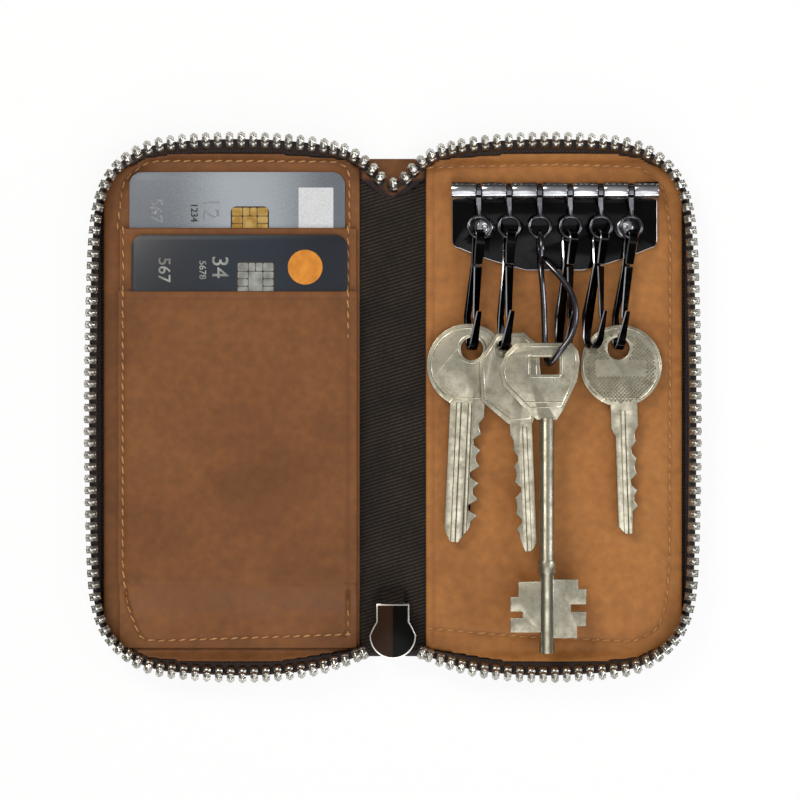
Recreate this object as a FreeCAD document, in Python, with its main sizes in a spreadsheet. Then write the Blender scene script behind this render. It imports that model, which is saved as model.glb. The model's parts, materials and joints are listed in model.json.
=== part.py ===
"""Zip-around key and card case, lying open like a book.

Millimetres.  The origin is the middle of the spine on the outer face of the leather, +X points to the
key side, +Y to the top edge and +Z up, out of the open case.  Both halves have the same outline, so
that the two rows of teeth meet when the case is shut about the two fold lines of the spine.
"""
import FreeCAD, Part
import Sketcher
import math
import os

Vector = FreeCAD.Vector

doc = FreeCAD.newDocument("KeyCase")
sheet = doc.addObject("Spreadsheet::Sheet", "Sizes")

# ------------------------------------------------------------------------------------------------
# Driving dimensions
# ------------------------------------------------------------------------------------------------
SIZES = [
    # the leather case
    ("spine_width", 16.0, "between the two fold lines"),
    ("cover_reach", 67.0, "fold line to the long outer edge"),
    ("cover_height", 125.2, "top edge to bottom edge"),
    ("cover_thickness", 1.2, "outer leather"),
    ("cover_corner", 13.0, "outer corner radius"),
    ("lining_thickness", 0.6, "ribbed cloth"),
    ("lining_margin", 1.6, "lining edge inside the cover edge"),
    ("fold_gap", 0.1, "between pieces that meet at a fold line"),
    ("layer_gap", 0.05, "between layers that lie on each other"),
    ("notch_width", 13.0, "cut-back of the spine under the slider"),
    ("notch_depth", 14.2, "cut-back of the spine under the slider"),
    # the key panel
    ("panel_thickness", 0.9, "leather of the inner panels"),
    ("panel_inset", 2.4, "panel edge inside the cover's long edge"),
    ("panel_lip_rise", 2.6, "turned-up edge along the top and bottom"),
    ("panel_lip_run", 3.0, "turned-up edge along the top and bottom"),
    ("panel_overhang", 1.4, "turned-up edge past the cover edge"),
    ("panel_corner", 10.0, "corner radius of the inner panels"),
    # the card side
    ("card_length", 85.6, "bank card"),
    ("card_width", 53.98, "bank card"),
    ("card_thickness", 0.76, "bank card"),
    ("card_corner", 3.18, "bank card"),
    ("card_left", -66.0, "left edge of the upper card"),
    ("card_upper_top", 59.0, "top edge of the upper card"),
    ("card_lower_top", 43.2, "top edge of the lower card"),
    ("card_shift", 0.7, "lower card to the right of the upper"),
    ("card_room", 0.5, "beside a card in its pocket"),
    ("slot_lip", 45.1, "lip of the upper slot"),
    ("slot_foot", -27.6, "lower end of the upper slot's panel"),
    ("pocket_lip", 29.2, "lip of the front pocket"),
    ("pocket_left", -68.6, "left edge of the slot panels"),
    ("pocket_right", -9.0, "right edge of the slot panels"),
    ("pocket_step", -44.2, "below this the pocket lies flat"),
    ("pocket_foot", -60.4, "bottom edge of the pocket"),
    ("pocket_thickness", 0.8, "leather of the slots"),
    # the zip
    ("zip_start", 14.6, "the stiff run of the zip starts here"),
    ("zip_rise", 0.3, "lower edge of the tape above the cover"),
    ("tape_thickness", 0.7, "woven tape"),
    ("rim_height", 9.2, "tooth tops above the table"),
    ("tooth_height", 4.2, "legs and head"),
    ("tooth_width", 2.3, "across the tape"),
    ("tooth_length", 1.45, "along the tape"),
    ("tooth_pitch", 2.95, "along the tape"),
    ("tooth_play", 0.27, "tape in the legs of a tooth"),
    # the slider
    ("slider_mouth", 11.6, "width across the shoulders"),
    ("slider_tail", 8.2, "width at the narrow end"),
    ("slider_length", 13.6, "plate length"),
    ("slider_top", 7.8, "inner plate above the table"),
    ("slider_plate", 0.9, "plate thickness"),
    ("slider_channel", 2.7, "between the plates"),
    ("tab_length", 10.8, "pull tab"),
    ("tab_width", 5.0, "pull tab"),
    ("tab_thickness", 0.9, "pull tab"),
    # the key rail
    ("rail_middle", 40.5, "middle of the rail along X"),
    ("rail_width", 51.3, "rail plate"),
    ("rail_thickness", 1.0, "rail plate"),
    ("rail_rod_y", 54.2, "rod line"),
    ("rod_lift", 2.65, "rod line above the key panel"),
    ("knuckle_radius", 2.4, "outside of a knuckle"),
    ("knuckle_length", 6.0, "one knuckle"),
    ("knuckle_pitch", 7.62, "knuckle to knuckle, and hook to hook"),
    ("rod_radius", 0.85, "rod"),
    ("rod_fit", 0.05, "rod in the knuckles"),
    ("rivet_spacing", 35.0, "rivet to rivet"),
    ("rivet_y", 45.0, "rivet line"),
    ("rivet_head", 2.7, "head radius"),
    # links and clips
    ("link_thickness", 1.1, "eye of a link, along the rod"),
    ("link_wire", 0.45, "radius of the link's ring wire"),
    ("link_ring", 2.6, "centre-line radius of the link's ring"),
    ("link_play", 0.35, "eye around the rod"),
    ("clip_pivot_y", 42.5, "clip on its link"),
    ("pivot_lift", 4.15, "clip on its link, above the key panel"),
    ("clip_length", 28.0, "pivot to the middle of the bend"),
    ("clip_width", 2.4, "strip width"),
    ("clip_strip", 0.5, "strip thickness"),
    ("clip_eye", 2.3, "centre-line radius of the clip's top bend"),
    ("clip_play", 1.0, "clip above the ring wire it hangs on"),
    ("clip_straight", 8.0, "even width of the hook above its bend"),
    ("clip_neck", 0.75, "half the neck, strip middle"),
    ("clip_neck_at", 7.0, "neck below the pivot"),
    ("gate_end", 20.4, "gate end below the pivot"),
    ("gate_gap", 0.3, "between a gate and its clip"),
    # keys
    ("key_thickness", 1.7, "flat keys"),
    ("big_key_thickness", 2.2, "bow of the large key"),
    ("big_key_shaft", 3.75, "shaft diameter of the large key"),
]

for row_number, (alias, value, note) in enumerate(SIZES, start=1):
    sheet.set(f"A{row_number}", note)
    sheet.set(f"B{row_number}", str(value))
    sheet.setAlias(f"B{row_number}", alias)
doc.recompute()


def size(alias):
    """Read one driving dimension from the sheet."""
    return float(getattr(sheet, alias))


def expression(text):
    """Put the sheet's name in front of every alias in a formula."""
    words = []
    for word in text.replace("(", "( ").replace(")", " )").split():
        words.append(f"Sizes.{word}" if word in ALIASES else word)
    return " ".join(words)


ALIASES = {alias for alias, _, _ in SIZES}
PARTS = []


def publish(obj, node):
    """Name a finished sub-part; its label names its file."""
    obj.Label = node
    PARTS.append(obj)
    return obj


def bind(obj, **formulas):
    """Tie properties to the sheet; x, y and z mean the placement's base."""
    for name, formula in formulas.items():
        target = f"Placement.Base.{name}" if name in "xyz" else name
        obj.setExpression(target, expression(formula))
    return obj


def box(name, x, y, z, length, width, height):
    """A box from its lowest corner, every size a formula of the sheet."""
    obj = doc.addObject("Part::Box", name)
    return bind(obj, x=x, y=y, z=z, Length=length, Width=width, Height=height)


def cut(name, base, tool):
    obj = doc.addObject("Part::Cut", name)
    obj.Base = base
    obj.Tool = tool
    obj.Refine = True
    return obj


def plate(name, x, y, z, length, width, height, radius=None, corners=()):
    """A PartDesign plate: a bound rectangle, padded up, with some upright corners rounded.

    corners holds pairs such as (1, 0): 1 for the far side along X or Y and 0 for the near side.
    """
    body = doc.addObject("PartDesign::Body", name)
    sketch = body.newObject("Sketcher::SketchObject", name + "_outline")
    plane = next(item for item in body.Origin.OriginFeatures if item.Role == "XY_Plane")
    sketch.AttachmentSupport = [(plane, "")]
    sketch.MapMode = "FlatFace"
    start = [Vector(0, 0, 0), Vector(30, 0, 0), Vector(30, 20, 0), Vector(0, 20, 0)]
    for index in range(4):
        sketch.addGeometry(Part.LineSegment(start[index], start[(index + 1) % 4]), False)
    for index in range(4):
        sketch.addConstraint(Sketcher.Constraint("Coincident", index, 2, (index + 1) % 4, 1))
    sketch.addConstraint(Sketcher.Constraint("Coincident", 0, 1, -1, 1))
    for index, direction in ((0, "Horizontal"), (1, "Vertical"), (2, "Horizontal"), (3, "Vertical")):
        sketch.addConstraint(Sketcher.Constraint(direction, index))
    across = sketch.addConstraint(Sketcher.Constraint("DistanceX", 0, 1, 0, 2, 30.0))
    along = sketch.addConstraint(Sketcher.Constraint("DistanceY", 1, 1, 1, 2, 20.0))
    sketch.setExpression(f"Constraints[{across}]", expression(length))
    sketch.setExpression(f"Constraints[{along}]", expression(width))
    pad = body.newObject("PartDesign::Pad", name + "_pad")
    pad.Profile = sketch
    pad.setExpression("Length", expression(height))
    bind(body, x=x, y=y, z=z)
    doc.recompute()
    if corners:
        far = pad.Shape.BoundBox
        wanted = [Vector(far.XMax if i else far.XMin, far.YMax if j else far.YMin, 0) for i, j in corners]
        edges = []
        for number, edge in enumerate(pad.Shape.Edges, start=1):
            first, last = edge.Vertexes[0].Point, edge.Vertexes[-1].Point
            upright = abs(first.z - last.z) > 0.5 * far.ZLength
            if upright and any(math.hypot(first.x - p.x, first.y - p.y) < 1e-6 for p in wanted):
                edges.append(f"Edge{number}")
        fillet = body.newObject("PartDesign::Fillet", name + "_corners")
        fillet.Base = (pad, edges)
        fillet.setExpression("Radius", expression(radius))
        body.Tip = fillet
    return body


def feature(node, shape):
    """A sub-part whose shape is worked out below from the sheet's sizes."""
    obj = doc.addObject("Part::Feature", node)
    obj.Shape = shape
    return publish(obj, node)


def wire_through(start, *steps):
    """A closed flat wire: a pair is a straight step, two pairs are an arc's middle and end."""
    def point(pair):
        return Vector(pair[0], pair[1], 0)
    edges = []
    here = start
    for step in steps + (start,):
        if isinstance(step[0], tuple):
            edges.append(Part.Arc(point(here), point(step[0]), point(step[1])).toShape())
            here = step[1]
        elif math.hypot(step[0] - here[0], step[1] - here[1]) > 1e-6:
            edges.append(Part.LineSegment(point(here), point(step)).toShape())
            here = step
    return Part.Wire(edges)


def slab(wire, low, high, holes=()):
    """A flat outline with holes, filled between two heights."""
    solid = Part.Face([wire] + list(holes)) if holes else Part.Face(wire)
    solid = solid.extrude(Vector(0, 0, high - low))
    solid.translate(Vector(0, 0, low))
    return solid


def mirrored(shape):
    """The same shape on the card side of the spine."""
    return shape.mirror(Vector(0, 0, 0), Vector(1, 0, 0))


# ------------------------------------------------------------------------------------------------
# Levels and lines that several pieces share
# ------------------------------------------------------------------------------------------------
half_spine = size("spine_width") / 2
half_height = size("cover_height") / 2
cover_edge = half_spine + size("cover_reach")
lining_top = size("cover_thickness") + size("lining_thickness")
panel_low = lining_top + size("layer_gap")
panel_top = panel_low + size("panel_thickness")
zip_base = size("cover_thickness") + size("zip_rise")

# ------------------------------------------------------------------------------------------------
# Zip: a tape that stands on the cover's edge, and teeth along its upper edge
# ------------------------------------------------------------------------------------------------
class Row:
    """One run of zip tape between a foot line and a rim line of as many points."""

    def __init__(self, foot, rim):
        self.foot = self.curve(foot)
        self.rim = self.curve(rim)

    @staticmethod
    def curve(points):
        spline = Part.BSplineCurve()
        count = len(points) - 1
        spline.interpolate([Vector(*p) for p in points], Parameters=[i / count for i in range(count + 1)])
        return spline

    def frame(self, t):
        """Rim point, direction along the row, direction up the tape, direction out of the tape."""
        rim = self.rim.value(t)
        up = (rim - self.foot.value(t)).normalize()
        along = Vector(*self.rim.tangent(t)[0]).normalize()
        out = along.cross(up).normalize()
        return rim, up.cross(out).normalize(), up, out

    def at_lengths(self, pitch):
        """Parameters of points spaced evenly along the rim."""
        edge = self.rim.toShape()
        count = int(edge.Length / pitch)
        margin = (edge.Length - (count - 1) * pitch) / 2
        return [edge.getParameterByLength(margin + i * pitch) for i in range(count)]


def wall(row, near, far, below_rim, below_foot=0):
    """A wall along a row, between two offsets from its ruled surface."""
    stations = 48

    def line(offset, upper):
        points = []
        for i in range(stations + 1):
            t = i / stations
            rim, _, up, out = row.frame(t)
            point = rim - up * below_rim if upper else row.foot.value(t) - up * below_foot
            points.append(point + out * offset)
        spline = Part.BSplineCurve()
        spline.approximate(points, Tolerance=0.02, DegMin=3, DegMax=3)
        return spline.toShape()

    corners = [line(near, False), line(far, False), line(far, True), line(near, True)]
    faces = [Part.makeRuledSurface(corners[i], corners[(i + 1) % 4]) for i in range(4)]
    for end in (0, 1):
        tips = [edge.valueAt(edge.ParameterRange[end]) for edge in corners]
        faces.append(Part.makeRuledSurface(Part.makeLine(tips[0], tips[1]), Part.makeLine(tips[3], tips[2])))
    shell = Part.makeShell(faces)
    shell.sewShape()
    solid = Part.makeSolid(shell)
    if solid.Volume < 0:
        solid.reverse()
    solid.fix(0.01, 0.01, 0.01)
    return solid


def tooth_solid():
    """One metal tooth: a head on two legs that grip the tape; up is +Z, along the row is +X."""
    half, wall = size("tooth_width") / 2, size("tape_thickness") / 2 + size("tooth_play")
    head = size("tooth_height") * 0.45
    legs = size("tooth_height") - head
    points = [(-half, -legs), (-wall, -legs), (-wall, 0), (wall, 0), (wall, -legs), (half, -legs),
              (half, head - 0.5), (half - 0.5, head), (-half + 0.5, head), (-half, head - 0.5)]
    corners = [Vector(-size("tooth_length") / 2, y, z - head) for y, z in points]
    face = Part.Face(Part.makePolygon(corners + corners[:1]))
    return face.extrude(Vector(size("tooth_length"), 0, 0))


def teeth_of(row):
    """Teeth spaced along a row, heads level with the rim line."""
    teeth = []
    for t in row.at_lengths(size("tooth_pitch")):
        rim, along, up, out = row.frame(t)
        matrix = FreeCAD.Matrix(along.x, out.x * -1, up.x, rim.x,
                                along.y, out.y * -1, up.y, rim.y,
                                along.z, out.z * -1, up.z, rim.z, 0, 0, 0, 1)
        teeth.append(moved(tooth_solid(), matrix))
    return teeth


def moved(shape, matrix):
    """A copy of a shape placed by a rigid matrix."""
    copy = shape.copy()
    copy.Placement = FreeCAD.Placement(matrix)
    return copy


def stiff_row():
    """The run of zip that a half's cover carries, from one end of the spine to the other."""
    edge, height = cover_edge, half_height
    start, foot, rim = size("zip_start"), zip_base, size("rim_height")
    foot_line = [(start, height - 0.6), (24, height - 0.4), (38, height - 0.4), (edge - 23, height - 0.4),
                 (edge - 13, height - 0.6), (edge - 4.4, height - 4.4), (edge - 0.7, height - 13.5),
                 (edge - 0.5, height - 28), (edge - 0.5, 8), (edge - 0.5, -14), (edge - 0.5, 28 - height),
                 (edge - 0.7, 13.5 - height), (edge - 4.4, 4.4 - height), (edge - 13, 0.6 - height),
                 (edge - 23, 0.4 - height), (38, 0.4 - height), (24, 0.4 - height), (start, 0.6 - height)]
    rim_line = [(start, height + 3.0), (24, height + 4.6), (38, height + 5.4), (edge - 23, height + 4.8),
                (edge - 13, height + 2.6), (edge - 5.5, height - 3.5), (edge - 1.6, height - 13),
                (edge, height - 28), (edge + 0.7, 8), (edge + 0.7, -14), (edge + 0.2, 28 - height),
                (edge - 1.2, 13.5 - height), (edge - 5.5, 4.0 - height), (edge - 13.5, -2.4 - height),
                (edge - 23, -4.4 - height), (38, -5.2 - height), (24, -4.2 - height), (start, -1.6 - height)]
    return Row([(x, y, foot) for x, y in foot_line], [(x, y, rim) for x, y in rim_line])


def head_row():
    """The zip's upper end: it dips over the spine and tucks in under the lining."""
    height, start, rim = half_height, size("zip_start") - 0.4, size("rim_height")
    foot = zip_base
    return Row([(start, height - 0.7, foot), (9.6, height - 1.5, foot), (5.2, height - 4.4, foot),
                (2.6, height - 7.6, foot)],
               [(start, height + 2.8, rim - 0.1), (9.3, height + 0.9, rim - 0.9),
                (4.8, height - 2.6, rim - 2.0), (1.7, height - 6.2, rim - 3.4)])


def foot_row():
    """The zip's lower end, from the stiff run to the slider's shoulder."""
    height, start, rim = half_height, size("zip_start") - 0.4, size("rim_height")
    foot = zip_base
    return Row([(start, 0.7 - height, foot), (10.2, 1.3 - height, foot + 0.5), (7.2, 2.6 - height, foot + 1.4)],
               [(start, -1.4 - height, rim - 0.1), (10.0, -0.2 - height, rim - 0.6),
                (6.9, 1.6 - height, rim - 1.5)])


below_rim = size("tooth_height") * 0.45 + size("tooth_play")
half_tape = size("tape_thickness") / 2
row, head_end, foot_end = stiff_row(), head_row(), foot_row()
stiff_tape = wall(row, -half_tape, half_tape, below_rim)
stiff_teeth = Part.makeCompound(teeth_of(row))
feature("zip_tape_right", stiff_tape)
feature("zip_tape_left", mirrored(stiff_tape))
feature("zip_teeth_right", stiff_teeth)
feature("zip_teeth_left", mirrored(stiff_teeth))
end_tapes = [wall(item, -half_tape, half_tape, below_rim) for item in (head_end, foot_end)]
end_teeth = [tooth for item in (head_end, foot_end) for tooth in teeth_of(item)]
feature("zip_tape_spine", Part.makeCompound(end_tapes + [mirrored(tape) for tape in end_tapes]))
feature("zip_teeth_spine", Part.makeCompound(end_teeth + [mirrored(tooth) for tooth in end_teeth]))

# Room that the tape takes: inner pieces are cut back to it.
inside = half_tape + size("layer_gap") * 2
ZIP_ROOM = [wall(row, inside, -9, 0, 0.8), wall(head_end, -inside, 7, 0, 0.8), wall(foot_end, inside, -7, 0, 0.8)]


def inside_zip(shape):
    """Cut a piece of the key side back to the inner face of the tape."""
    for room in ZIP_ROOM:
        shape = shape.cut(room)
    return max(shape.Solids, key=lambda solid: solid.Volume)


# ------------------------------------------------------------------------------------------------
# Outer leather and lining: one run of leather and one of cloth, parted at the fold lines
# ------------------------------------------------------------------------------------------------
cover_right = plate("CoverRight", "spine_width / 2", "-1 * cover_height / 2", "0",
                    "cover_reach", "cover_height", "cover_thickness", "cover_corner", ((1, 0), (1, 1)))
publish(cover_right, "cover_right")
cover_left = plate("CoverLeft", "-1 * spine_width / 2 - cover_reach", "-1 * cover_height / 2", "0",
                   "cover_reach", "cover_height", "cover_thickness", "cover_corner", ((0, 0), (0, 1)))
publish(cover_left, "cover_left")

spine_blank = box("SpineBlank", "-1 * spine_width / 2 + fold_gap", "-1 * cover_height / 2", "0",
                  "spine_width - 2 * fold_gap", "cover_height", "cover_thickness")
notch = box("SpineNotch", "-1 * notch_width / 2", "-1 * cover_height / 2 - 1", "-1",
            "notch_width", "notch_depth + 1", "10")
publish(cut("CoverSpine", spine_blank, notch), "cover_spine")

for side, x in (("right", "spine_width / 2 + fold_gap"),
                ("left", "-1 * spine_width / 2 - cover_reach + lining_margin")):
    corners = ((1, 0), (1, 1)) if side == "right" else ((0, 0), (0, 1))
    lining = plate("Lining" + side.title(), x, "-1 * cover_height / 2 + lining_margin", "cover_thickness",
                   "cover_reach - lining_margin - fold_gap", "cover_height - 2 * lining_margin",
                   "lining_thickness", "cover_corner - lining_margin", corners)
    doc.recompute()
    lining.Label = "lining_blank_" + side
    cloth = inside_zip(lining.Shape if side == "right" else mirrored(lining.Shape))
    feature("lining_" + side, cloth if side == "right" else mirrored(cloth))
publish(box("LiningSpine", "-1 * spine_width / 2 + fold_gap",
            "-1 * cover_height / 2 + notch_depth + fold_gap", "cover_thickness",
            "spine_width - 2 * fold_gap", "cover_height - notch_depth - 6 * lining_margin",
            "lining_thickness"), "lining_spine")


# ------------------------------------------------------------------------------------------------
# Inner panels with turned-up edges
# ------------------------------------------------------------------------------------------------
def tray(x_start, x_end, y_foot, y_head, low, thickness):
    """A leather strip along X whose two long edges turn up."""
    rise, run = size("panel_lip_rise"), size("panel_lip_run")
    under = [(y_foot, low + rise), (y_foot + run, low), (y_head - run, low), (y_head, low + rise)]
    over = [(y, z + thickness) for y, z in reversed(under)]
    points = [Vector(x_start, y, z) for y, z in under + over]
    return Part.Face(Part.makePolygon(points + points[:1])).extrude(Vector(x_end - x_start, 0, 0))


def panel_outline():
    """Outline of the key panel; the corners by the spine are cut back for the zip."""
    near, far = half_spine + size("fold_gap"), cover_edge - size("panel_inset")
    head = half_height + size("panel_overhang")
    corner = size("panel_corner")
    slope = corner * (1 - math.sqrt(0.5))
    return wire_through((near, -half_height + 2.2), (near + 20, -head + 0.4), (far - corner, -head),
                        ((far - slope, -head + slope), (far, -head + corner)),
                        (far, head - corner),
                        ((far - slope, head - slope), (far - corner, head)),
                        (near + 20, head - 0.4), (near, half_height - 0.6))


panel_head = half_height + size("panel_overhang")
panel_prism = slab(panel_outline(), panel_low - 1, panel_low + 8)
panel = tray(half_spine, cover_edge, -panel_head, panel_head, panel_low, size("panel_thickness"))
panel = inside_zip(panel.common(panel_prism))
feature("key_panel", panel)
feature("pocket_back", mirrored(panel))

# ------------------------------------------------------------------------------------------------
# Card slots: back panel, upper card, slot panel, lower card, front pocket
# ------------------------------------------------------------------------------------------------
card_low = panel_top + size("layer_gap")
slot_low = card_low + size("card_thickness") + size("layer_gap")
card_two_low = slot_low + size("pocket_thickness") + size("layer_gap")
front_low = card_two_low + size("card_thickness") + size("layer_gap")
front_top = front_low + size("pocket_thickness")


def pocket(name, foot, lip, base, roof, card_x, card_foot):
    """A leather panel sewn down on both sides and at its foot, hollow where a card lies."""
    left, right = size("pocket_left"), size("pocket_right")
    room = size("card_room")
    outer = Part.makeBox(right - left, lip - foot, roof - base, Vector(left, foot, base))
    hollow = Part.makeBox(size("card_width") + 2 * room, lip - card_foot + room + 1,
                          roof - base - size("pocket_thickness"),
                          Vector(card_x - room, card_foot - room, base))
    return outer.cut(hollow)


upper_foot = size("card_upper_top") - size("card_length")
lower_foot = size("card_lower_top") - size("card_length")
lower_x = size("card_left") + size("card_shift")
slot_panel = pocket("slot", size("slot_foot"), size("slot_lip"), card_low,
                    slot_low + size("pocket_thickness"), size("card_left"), upper_foot)
feature("card_slot_panel", slot_panel)

front = pocket("front", size("pocket_foot"), size("pocket_lip"), card_low, front_top, lower_x, lower_foot)
under_slot = Part.makeBox(200, 200, card_two_low - card_low,
                          Vector(-150, size("slot_foot") - size("layer_gap"), card_low))
flat_zone = Part.makeBox(200, 60, 10, Vector(-150, size("pocket_step") - 60, card_low + size("pocket_thickness")))
feature("front_pocket", mirrored(inside_zip(mirrored(front.cut(under_slot).cut(flat_zone)))))

for node, x, top, low in (
        ("card_upper", "card_left", "card_upper_top",
         "cover_thickness + lining_thickness + panel_thickness + 2 * layer_gap"),
        ("card_lower", "card_left + card_shift", "card_lower_top",
         "cover_thickness + lining_thickness + panel_thickness + card_thickness"
         " + pocket_thickness + 4 * layer_gap")):
    card = plate(node.title().replace("_", ""), x, top + " - card_length", low, "card_width",
                 "card_length", "card_thickness", "card_corner", ((0, 0), (0, 1), (1, 0), (1, 1)))
    publish(card, node)


# ------------------------------------------------------------------------------------------------
# Slider and pull tab, inner plate up and tab below, in the cut-back of the spine
# ------------------------------------------------------------------------------------------------
tail_y = -half_height + size("slider_length")
tail, mouth = size("slider_tail") / 2, size("slider_mouth") / 2
shoulder_y = tail_y - size("slider_length") + 5.0
slider_outline = wire_through((-tail, tail_y), (tail, tail_y), (tail, tail_y - 4.4), (mouth, shoulder_y),
                              ((0, -half_height), (-mouth, shoulder_y)), (-tail, tail_y - 4.4))
upper_low = size("slider_top") - size("slider_plate")
lower_top = upper_low - size("slider_channel")
lower_low = lower_top - size("slider_plate")
bridge_low = lower_low - 2.0
pin_y, pin_z = tail_y - 4.0, lower_low - 0.6
bridge_half = 0.8
slider_pieces = [slab(slider_outline, upper_low, size("slider_top")),
                 slab(slider_outline, lower_low, lower_top),
                 Part.makeCylinder(1.5, size("slider_channel") + 0.4,
                                   Vector(0, shoulder_y + 0.6, lower_top - 0.2))]
for side in (-1, 1):
    for low in (lower_top, upper_low - 0.7):
        slider_pieces.append(Part.makeBox(0.7, 6.0, 0.7, Vector(side * (tail - 0.35) - 0.35, tail_y - 6.4, low)))
for y in (pin_y + 2.2, pin_y - 5.6):
    slider_pieces.append(Part.makeBox(2 * bridge_half, 1.0, 2.1, Vector(-bridge_half, y - 0.5, bridge_low)))
slider_pieces.append(Part.makeBox(2 * bridge_half, 8.8, 0.8, Vector(-bridge_half, pin_y - 6.1, bridge_low)))
slider = slider_pieces[0].multiFuse(slider_pieces[1:]).removeSplitter()
feature("zip_slider", slider)

ear_in, ear_out = bridge_half + 0.4, size("tab_width") / 2
tab_low = bridge_low - 0.2 - size("tab_thickness")
tab_pieces = [Part.makeBox(size("tab_width"), size("tab_length") - 4.0, size("tab_thickness"),
                           Vector(-ear_out, pin_y - size("tab_length") + 1.4, tab_low)),
              Part.makeCylinder(0.4, 2 * ear_out, Vector(-ear_out, pin_y, pin_z), Vector(1, 0, 0))]
for side in (-1, 1):
    x = ear_in if side > 0 else -ear_out
    tab_pieces.append(Part.makeBox(ear_out - ear_in, 0.9, pin_z - tab_low, Vector(x, pin_y - 0.45, tab_low)))
    tab_pieces.append(Part.makeBox(ear_out - ear_in, 3.4, size("tab_thickness"), Vector(x, pin_y - 2.9, tab_low)))
feature("pull_tab", tab_pieces[0].multiFuse(tab_pieces[1:]).removeSplitter())

# The closed end of the chain leaves the slider's tail and goes under the lining's edge.
chain_low = lower_top + 0.3
chain_top = upper_low - 0.3
tail_line = [(tail_y - 4.4, chain_low), (tail_y - 0.3, chain_low), (tail_y + 2.6, lining_top + 0.05),
             (tail_y + 4.2, lining_top + 0.05), (tail_y + 3.4, lining_top + 1.6), (tail_y + 0.5, chain_top),
             (tail_y - 4.4, chain_top)]
tail_points = [Vector(-2.8, y, z) for y, z in tail_line]
feature("zip_tail", Part.Face(Part.makePolygon(tail_points + tail_points[:1])).extrude(Vector(5.6, 0, 0)))

# ------------------------------------------------------------------------------------------------
# Key rail: a plate whose upper edge is rolled into seven knuckles round a rod
# ------------------------------------------------------------------------------------------------
HOOKS = 6
middle = size("rail_middle")
rail_low = panel_top + size("layer_gap")
rail_top = rail_low + size("rail_thickness")
rod_y, rod_z = size("rail_rod_y"), panel_top + size("rod_lift")
half_rail = size("rail_width") / 2
rail_outline = wire_through((middle - half_rail, rod_y + 1.2), (middle - half_rail, 41.6),
                            ((middle - half_rail + 0.6, 40.4), (middle - half_rail + 1.8, 39.9)),
                            ((middle - 15, 36.6), (middle - 7, 34.4)), (middle + 7, 34.4),
                            ((middle + 15, 36.6), (middle + half_rail - 1.8, 39.9)),
                            ((middle + half_rail - 0.6, 40.4), (middle + half_rail, 41.6)),
                            (middle + half_rail, rod_y + 1.2))
rail = slab(rail_outline, rail_low, rail_top)
slot_width = size("knuckle_pitch") - size("knuckle_length")
hook_x = [middle + (index - (HOOKS - 1) / 2) * size("knuckle_pitch") for index in range(HOOKS)]
for x in hook_x:
    rail = rail.cut(Part.makeBox(slot_width, 8, 4, Vector(x - slot_width / 2, rod_y - 2.6, rail_low - 1)))
bore = size("rod_radius") + size("rod_fit")
knuckles = []
for index in range(HOOKS + 1):
    x = middle + (index - HOOKS / 2) * size("knuckle_pitch") - size("knuckle_length") / 2
    barrel = Part.makeCylinder(size("knuckle_radius"), size("knuckle_length"), Vector(x, rod_y, rod_z), Vector(1, 0, 0))
    web = Part.makeBox(size("knuckle_length"), size("knuckle_radius"), rod_z - rail_low,
                       Vector(x, rod_y, rail_low))
    knuckles += [barrel, web]
rail = rail.multiFuse(knuckles)
rail_length = HOOKS * size("knuckle_pitch") + size("knuckle_length")
rod_start = middle - rail_length / 2
rail = rail.cut(Part.makeCylinder(bore, rail_length + 2, Vector(rod_start - 1, rod_y, rod_z), Vector(1, 0, 0)))
rivet_x = [middle - size("rivet_spacing") / 2, middle + size("rivet_spacing") / 2]
shank = size("rivet_head") * 0.5
for x in rivet_x:
    rail = rail.cut(Part.makeCylinder(shank + 0.05, 9, Vector(x, size("rivet_y"), 0)))
feature("rail_plate", rail.removeSplitter())
feature("rail_rod", Part.makeCylinder(size("rod_radius"), rail_length, Vector(rod_start, rod_y, rod_z), Vector(1, 0, 0)))

panel_holes = [Part.makeCylinder(shank + 0.05, 9, Vector(x, size("rivet_y"), 0)) for x in rivet_x]
panel_feature = next(item for item in PARTS if item.Label == "key_panel")
panel_feature.Shape = panel_feature.Shape.cut(panel_holes)
rivets = []
for x in rivet_x:
    rivet = Part.makeCylinder(shank, rail_top - panel_low + 0.1, Vector(x, size("rivet_y"), panel_low))
    head = Part.makeCone(size("rivet_head"), size("rivet_head") * 0.7, 0.7, Vector(x, size("rivet_y"), rail_top))
    eye = Part.makeCylinder(shank * 0.55, 1.0, Vector(x, size("rivet_y"), rail_top + 0.1))
    rivets.append(rivet.fuse(head).cut(eye).removeSplitter())
feature("rail_rivets", Part.makeCompound(rivets))

# ------------------------------------------------------------------------------------------------
# Links: an eye on the rod, a neck and a ring
# ------------------------------------------------------------------------------------------------
pivot_y, pivot_z = size("clip_pivot_y"), panel_top + size("pivot_lift")
bend_y = pivot_y - size("clip_length")
link_length = math.hypot(rod_y - pivot_y, pivot_z - rod_z)
link_pitch = -math.degrees(math.atan2(pivot_z - rod_z, rod_y - pivot_y))


def link_solid():
    """A link with the rod's centre at the origin, hanging along -Y."""
    inner = size("rod_radius") + size("link_play")
    thick, wire, ring = size("link_thickness"), size("link_wire"), size("link_ring")
    outer = inner + 0.75
    ring_y = ring - link_length
    eye = Part.makeCylinder(outer, thick, Vector(-thick / 2, 0, 0), Vector(1, 0, 0))
    neck = Part.makeBox(thick, link_length - 2 * ring - inner - 0.2, 2 * wire,
                        Vector(-thick / 2, ring_y + ring - 0.1, -wire))
    loop = Part.makeTorus(ring, wire, Vector(0, ring_y, 0))
    hole = Part.makeCylinder(inner, thick + 2, Vector(-thick / 2 - 1, 0, 0), Vector(1, 0, 0))
    return eye.fuse([neck, loop]).cut(hole).removeSplitter()


for index, x in enumerate(hook_x, start=1):
    link = link_solid()
    link.Placement = FreeCAD.Placement(Vector(x, rod_y, rod_z), FreeCAD.Rotation(Vector(1, 0, 0), link_pitch))
    feature(f"link_{index}", link)


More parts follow.
